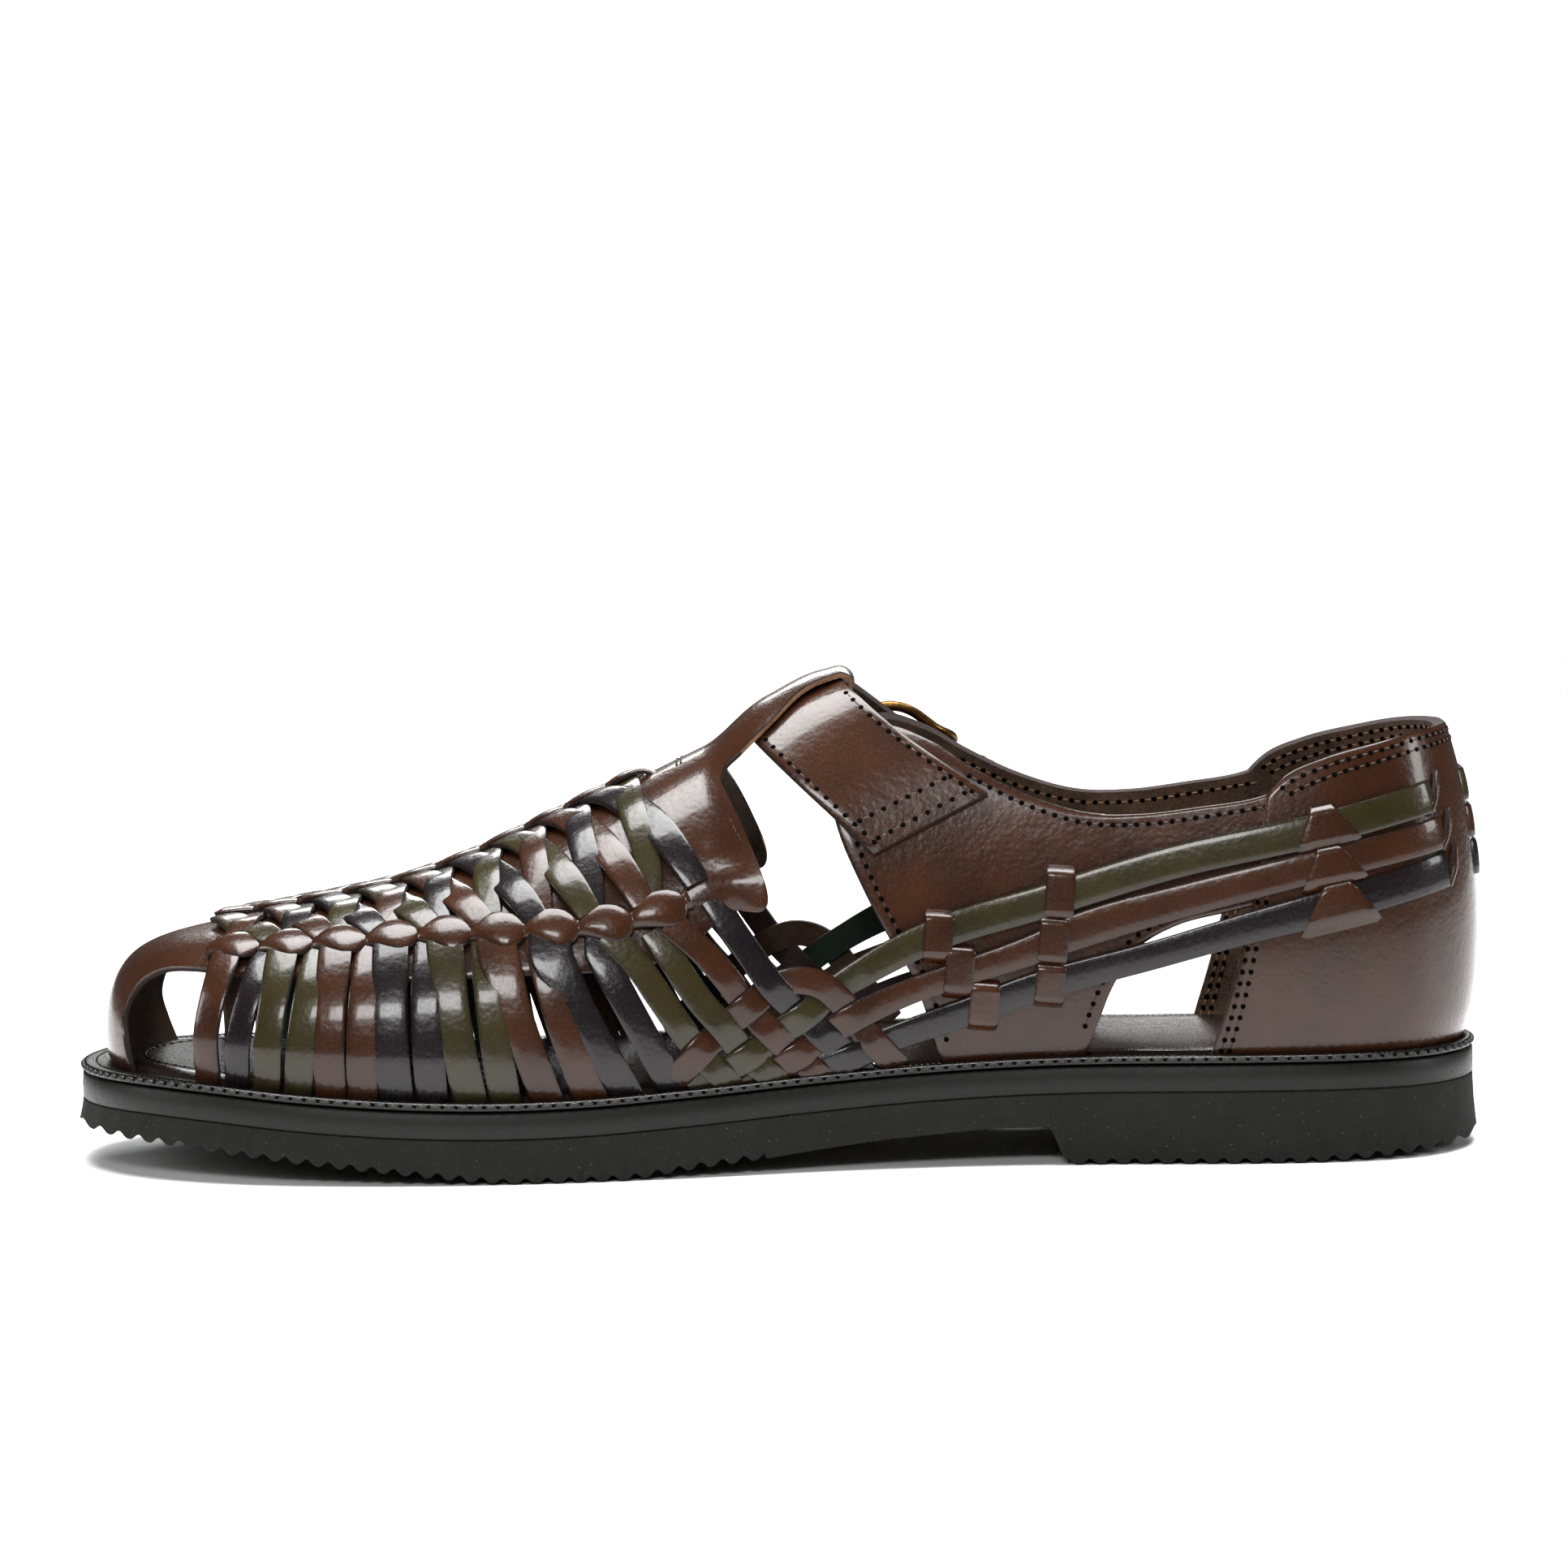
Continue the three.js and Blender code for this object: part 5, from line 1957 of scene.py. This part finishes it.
@dataclass
class AnkleStrap:
    """The ankle strap, its buckle and the tab that holds it."""

    # corners of the band seen from the side: front and rear at the crest and at the inner end
    front: Point = (142.8, 91.2)
    front_end: Point = (170.4, 65.9)
    rear: Point = (164.3, 98.4)
    rear_end: Point = (194.9, 78)
    thickness: float = 1.8
    gap: float = 0.3
    crest_rise: float = 2.3
    tab: float = 1.5
    tip_end: float = 1.22
    frame_front: float = 0.35
    climb: float = 0.5
    bar: float = 0.57
    frame_rear: float = 0.86
    keeper: float = 1.01
    # millimetres that one unit of s and of w is taken as, to space a line's points
    scale: tuple = (30, 11, 1)

    def band(self, s: Array, w: Array) -> tuple[Array, Array]:
        """Find places on the strap's band.

        Args:
            s: 0 at the crest and 1 at the inner end.
            w: -1 at the front edge and +1 at the rear edge.
        Returns:
            Their t and v on the inner side.
        """
        s, w = alike(s, w)
        side = ((w + 1) / 2)[..., None]
        crest = np.array(self.front) * (1 - side) + np.array(self.rear) * side
        end = np.array(self.front_end) * (1 - side) + np.array(self.rear_end) * side
        place = crest + (end - crest) * s[..., None]
        t, v = LAST.locate(place[..., 0], place[..., 1])
        return t, np.where(s <= 1e-6, 0, v)

    def lean(self, s: Array, w: Array) -> Array:
        """Return the band's rise towards its rear edge inside the tongue's loop."""
        return self.crest_rise * (1 - smoothstep(s, 0.02, 0.5)) * (w + 1) / 2

    def cover(self, shape: Shape, places: Array, reach: float, thickness: float, lift: Array) -> None:
        """Cover part of the band with leather, clear of the last.

        Args:
            shape: the piece.
            places: s along it; negative values lie on the inner side, positive on the outer.
            reach: the highest w.
            thickness: the leather's thickness.
            lift: extra height at each place.
        """
        low, high = self.gap, self.gap + thickness
        w = reach * (2 * stops(15, 0.03) - 1)
        t, v = self.band(np.abs(places)[:, None], w[None])
        v = v * np.where(places > 0, -1, 1)[:, None]
        Sheet(low, high, 0.3).cover(shape, t, v, lift[:, None] + self.lean(np.abs(places)[:, None], w))

    def make_strap(self) -> None:
        """Make the strap from the inner quarter, over the instep, to its tip."""
        shape = Shape()
        inner = -(np.linspace(1, 0, 30) ** 2)
        outer = np.linspace(0, 1, 40)[1:] ** 1.6 * (self.tip_end - 0.08)
        tip = self.tip_end - 0.08 + 0.08 * np.linspace(0, 1, 9)[1:]
        places = np.concatenate([[-1.0, -0.996], inner[1:], outer, tip])
        rise = (self.tab + self.gap) * smoothstep(places, self.climb - 0.1, self.climb + 0.02)
        self.cover(shape, places, 1, self.thickness, rise)
        shape.build_leather("instep_strap", BROWN, "ankle_strap")

    def make_tab(self) -> None:
        """Make the tab that runs from the outer quarter up to the buckle's bar."""
        shape = Shape()
        places = np.linspace(self.bar - 0.02, self.tip_end + 0.08, 30)
        self.cover(shape, places, 0.92, self.tab, 0 * places)
        shape.build_leather("tab_strap", BROWN, "buckle_tab")

    def line(self, places: Sequence, count: int, ahead: float = 0.0) -> Path:
        """Lay a smooth line through places on the outer side.

        Args:
            places: s, w and lift of the control places.
            count: how many points the line has.
            ahead: how far along s the whole line is moved.
        Returns:
            The line.
        """
        s, w, lift = (spline(np.array(places) * self.scale, count) / self.scale).T
        t, v = self.band(s + ahead, w)
        return Path(t, -v, lift)

    def rod(self, shape: Shape, places: Sequence, radius: float, count: int = 40) -> None:
        """Run a round rod through (s, w, lift) places on the outer side.

        Args:
            shape: the piece that it joins.
            places: control places.
            radius: the rod's radius.
            count: rings along it.
        """
        path = self.line(places, count)
        points, normals = path.points(), path.normals()
        across = unit(np.cross(normals, unit(np.gradient(points, axis=0))))
        angle = np.linspace(0, 2 * np.pi, 12, endpoint=False)[:, None]
        spokes = across[:, None] * np.cos(angle) + normals[:, None] * np.sin(angle)
        rings = points[:, None] + radius * spokes
        closed = np.allclose(points[0], points[-1], atol=1e-3)
        shape.solid(rings[:-1] if closed else rings, closed=closed)

    def make_buckle(self) -> None:
        """Make the brass frame with its bar, and the prong."""
        low, high = 1.9, 5.4
        front, rear, bar = self.frame_front + 0.03, self.frame_rear - 0.03, self.bar
        turns = np.linspace(0, 2 * np.pi, 49)
        away, wide = [np.sign(c) * np.abs(c) ** 0.5 for c in (np.cos(turns), np.sin(turns))]
        s = (front + rear) / 2 + away * (rear - front) / 2
        frame_loop = np.stack([s, 1.19 * wide, low + (high - low) * np.abs(away) ** 1.5], axis=-1)
        shape = Shape()
        self.rod(shape, frame_loop, 1.15, 161)
        self.rod(shape, [(bar, -1.17, low), (bar, 0, 1.1), (bar, 1.17, low)], 0.8, 24)
        shape.build("brass_frame", [FINISHES.brass], "buckle_frame")
        shape = Shape()
        prong = [(bar, 0, 1.0), (bar - 0.02, 0, 4.2), (bar - 0.08, 0, 6.0), (front + 0.06, 0, 6.7)]
        prong += [(front - 0.035, 0, 6.5)]
        self.rod(shape, prong, 0.8, 40)
        shape.build("brass_prong", [FINISHES.brass], "buckle_prong")

    def make_keeper(self) -> None:
        """Make the keeper loop behind the buckle."""
        shape = Shape()
        high = self.gap * 3 + self.tab + self.thickness
        half = [(0, high), (0.9, high), (1.1, high - 0.8), (1.14, high / 2), (1.08, 0.3), (0.9, 0.1)]
        loop = [*half, (0, 0.1), *[(-w, lift) for w, lift in reversed(half)]]
        places = [(self.keeper, w, lift) for w, lift in loop]
        points = self.line(places, 90).points()
        along = unit(self.line(places, 90, ahead=0.02).points() - points)
        normals = unit(np.cross(unit(np.gradient(points, axis=0)), along))
        centre = points.mean(axis=0)
        normals *= np.where(np.sum(normals * (points - centre), axis=1) < 0, -1, 1)[:, None]
        Strap(0.9, 0.15).lay(shape, points, normals, 1.9)
        shape.build_leather("strap_loop", BROWN, "strap_keeper")

    def seams(self) -> None:
        """Sew the strap's edges and its double end, and the tab's edges."""
        top = self.gap + self.thickness - 0.05
        over_tab = top + self.tab + self.gap

        def row(s: Array, w: Array, side: int, height: float) -> tuple[Array, Array]:
            """Return the points and normals of a row of stitches."""
            t, v = self.band(s, w)
            return seam_line(Path(t, -side * v, self.lean(s, w)), height)

        lines = []
        for w in (-0.86, 0.86):
            lines.append(row(np.linspace(0.1, 0.94, 60), w, INNER, top))
            lines.append(row(np.linspace(0.13, 0.34, 20), w, OUTER, top))
            lines.append(row(np.linspace(0.62, self.tip_end - 0.03, 60), w, OUTER, over_tab))
        for s in (0.79, 0.93):
            lines.append(row(np.full(30, s), np.linspace(-0.76, 0.76, 30), INNER, top))
        Seam(2.7, (1.5, 0.45, 0.3), (1.3, 1.2, 0.4)).sew("ankle_strap_stitches", lines, FINISHES.thread)

    def make(self) -> None:
        """Make the strap, tab, buckle, keeper and seams."""
        self.make_strap()
        self.make_tab()
        self.make_buckle()
        self.make_keeper()
        self.seams()


@dataclass
class BarTacks:
    """The two pairs of bar tacks at the ends of the vamp's slot, which is not cut."""

    places: tuple = ((129.2, -0.085), (136.7, -0.068))

    def make(self) -> None:
        """Sew the tacks."""
        lines = []
        for x, v in self.places:
            for shift in (-0.45, 0.45):
                across = np.linspace(v, -v, 14)
                path = Path(LAST.station_at(x + shift, across), across, 0 * across)
                lines.append(seam_line(path, 0.05))
        Seam(1.5, (1.2, 0.5, 0.4), (0.6, 0.55, 0.3)).sew("bar_tacks", lines, FINISHES.thread)


# ---- the studio


@dataclass
class Studio:
    """The floor, the lights and the camera."""

    lens: float = 150
    sensor: float = 36
    frame_width: float = 0.3384
    elevation: float = 5.5
    roll: float = 0.6
    aim_x: float = 0.0009
    aim_above: float = 0.027
    floor_colour: tuple = (0.86, 0.86, 0.86)
    floor_radius: float = 1.15
    floor_sides: int = 96
    lit: tuple = (0, 0, 0.04)
    clip: tuple = (0.05, 30)
    dim: float = 0.07

    def make(self) -> None:
        """Make everything."""
        low, high = CAD_BOX
        self.make_floor(low.z)
        self.make_world()
        self.make_lights()
        self.make_camera((low + high) / 2)
        bpy.context.scene.view_settings.view_transform = "Standard"

    def make_floor(self, height: float) -> None:
        """Make the plain pale floor.

        Args:
            height: where it lies.
        """
        mesh = bpy.data.meshes.new("floor")
        count, radius = self.floor_sides, self.floor_radius
        turns = [math.tau * k / count for k in range(count)]
        rim = [(radius * math.cos(turn), radius * math.sin(turn), height) for turn in turns]
        mesh.from_pydata(rim, [], [tuple(range(count))])
        floor = bpy.data.objects.new("floor", mesh)
        bpy.context.scene.collection.objects.link(floor)
        material, nodes, shader = start_material("Pale floor")
        nodes.feed(shader, {"Base Color": (*self.floor_colour, 1), "Roughness": 0.55})
        mesh.materials.append(material)

    def make_world(self) -> None:
        """Make a pale surrounding that is darker where gloss reflects it."""
        world = bpy.data.worlds.new("Studio")
        world.use_nodes = True
        world.node_tree.nodes.clear()
        nodes = Nodes(world.node_tree)
        pale = nodes.first("ShaderNodeBackground", {"Color": (1, 1, 1, 1), "Strength": 1.0})
        shade = {"Color": (1, 0.98, 0.96, 1), "Strength": self.dim}
        dim = nodes.first("ShaderNodeBackground", shade)
        seen = nodes.add("ShaderNodeLightPath").outputs["Is Camera Ray"]
        both = nodes.first("ShaderNodeMixShader", {0: seen, 1: dim, 2: pale})
        nodes.add("ShaderNodeOutputWorld", {"Surface": both})
        bpy.context.scene.world = world

    def light(self, name: str, place: tuple, size: tuple, watts: float) -> None:
        """Add a soft rectangular light that points at the shoe.

        Args:
            name: its name.
            place: where it stands.
            size: its width and depth.
            watts: its power.
        """
        data = bpy.data.lights.new(name, "AREA")
        data.shape = "RECTANGLE"
        data.size, data.size_y = size
        data.energy = watts
        lamp = bpy.data.objects.new(name, data)
        lamp.location = place
        away = Vector(self.lit) - Vector(place)
        lamp.rotation_euler = away.to_track_quat("-Z", "Y").to_euler()
        bpy.context.scene.collection.objects.link(lamp)

    def make_lights(self) -> None:
        """Make a big overhead softbox, a front fill and two side strips."""
        self.light("overhead", (0, 0.05, 1.25), (1.1, 0.8), 46)
        self.light("front", (-0.25, -1.5, 0.95), (0.6, 0.3), 12)
        self.light("back", (0.2, 1.5, 0.8), (1.3, 0.5), 15)
        self.light("toe", (-1.4, -0.3, 0.6), (0.3, 0.6), 6)
        self.light("heel", (1.4, -0.2, 0.6), (0.3, 0.6), 6)

    def make_camera(self, centre: Vector) -> None:
        """Make the camera at the side, a little above the floor.

        Args:
            centre: the middle of the shoe's box.
        """
        data = bpy.data.cameras.new("camera")
        data.lens = self.lens
        data.sensor_width = self.sensor
        camera = bpy.data.objects.new("camera", data)
        distance = self.frame_width * self.lens / self.sensor
        tilt = math.radians(self.elevation)
        aim = Vector((centre.x + self.aim_x, centre.y, centre.z + self.aim_above))
        camera.location = aim + Vector((0, -math.cos(tilt), math.sin(tilt))) * distance
        turn = (aim - camera.location).to_track_quat("-Z", "Y")
        camera.rotation_mode = "QUATERNION"
        camera.rotation_quaternion = turn @ Quaternion((0, 0, 1), math.radians(-self.roll))
        data.clip_start, data.clip_end = self.clip
        bpy.context.scene.collection.objects.link(camera)
        bpy.context.scene.camera = camera


def main() -> None:
    """Build the sandal and its studio."""
    logging.basicConfig(level=logging.INFO, format="%(message)s")
    Studio().make()
    builders = (
        Sole(),
        Vamp(),
        Weave(),
        SideStraps(),
        WaistWeave(),
        Quarters(),
        Counter(),
        BackStraps(),
        AnkleStrap(),
        BarTacks(),
    )
    for builder in builders:
        LOG.info("building %s", type(builder).__name__)
        builder.make()


if __name__ == "__main__":
    main()
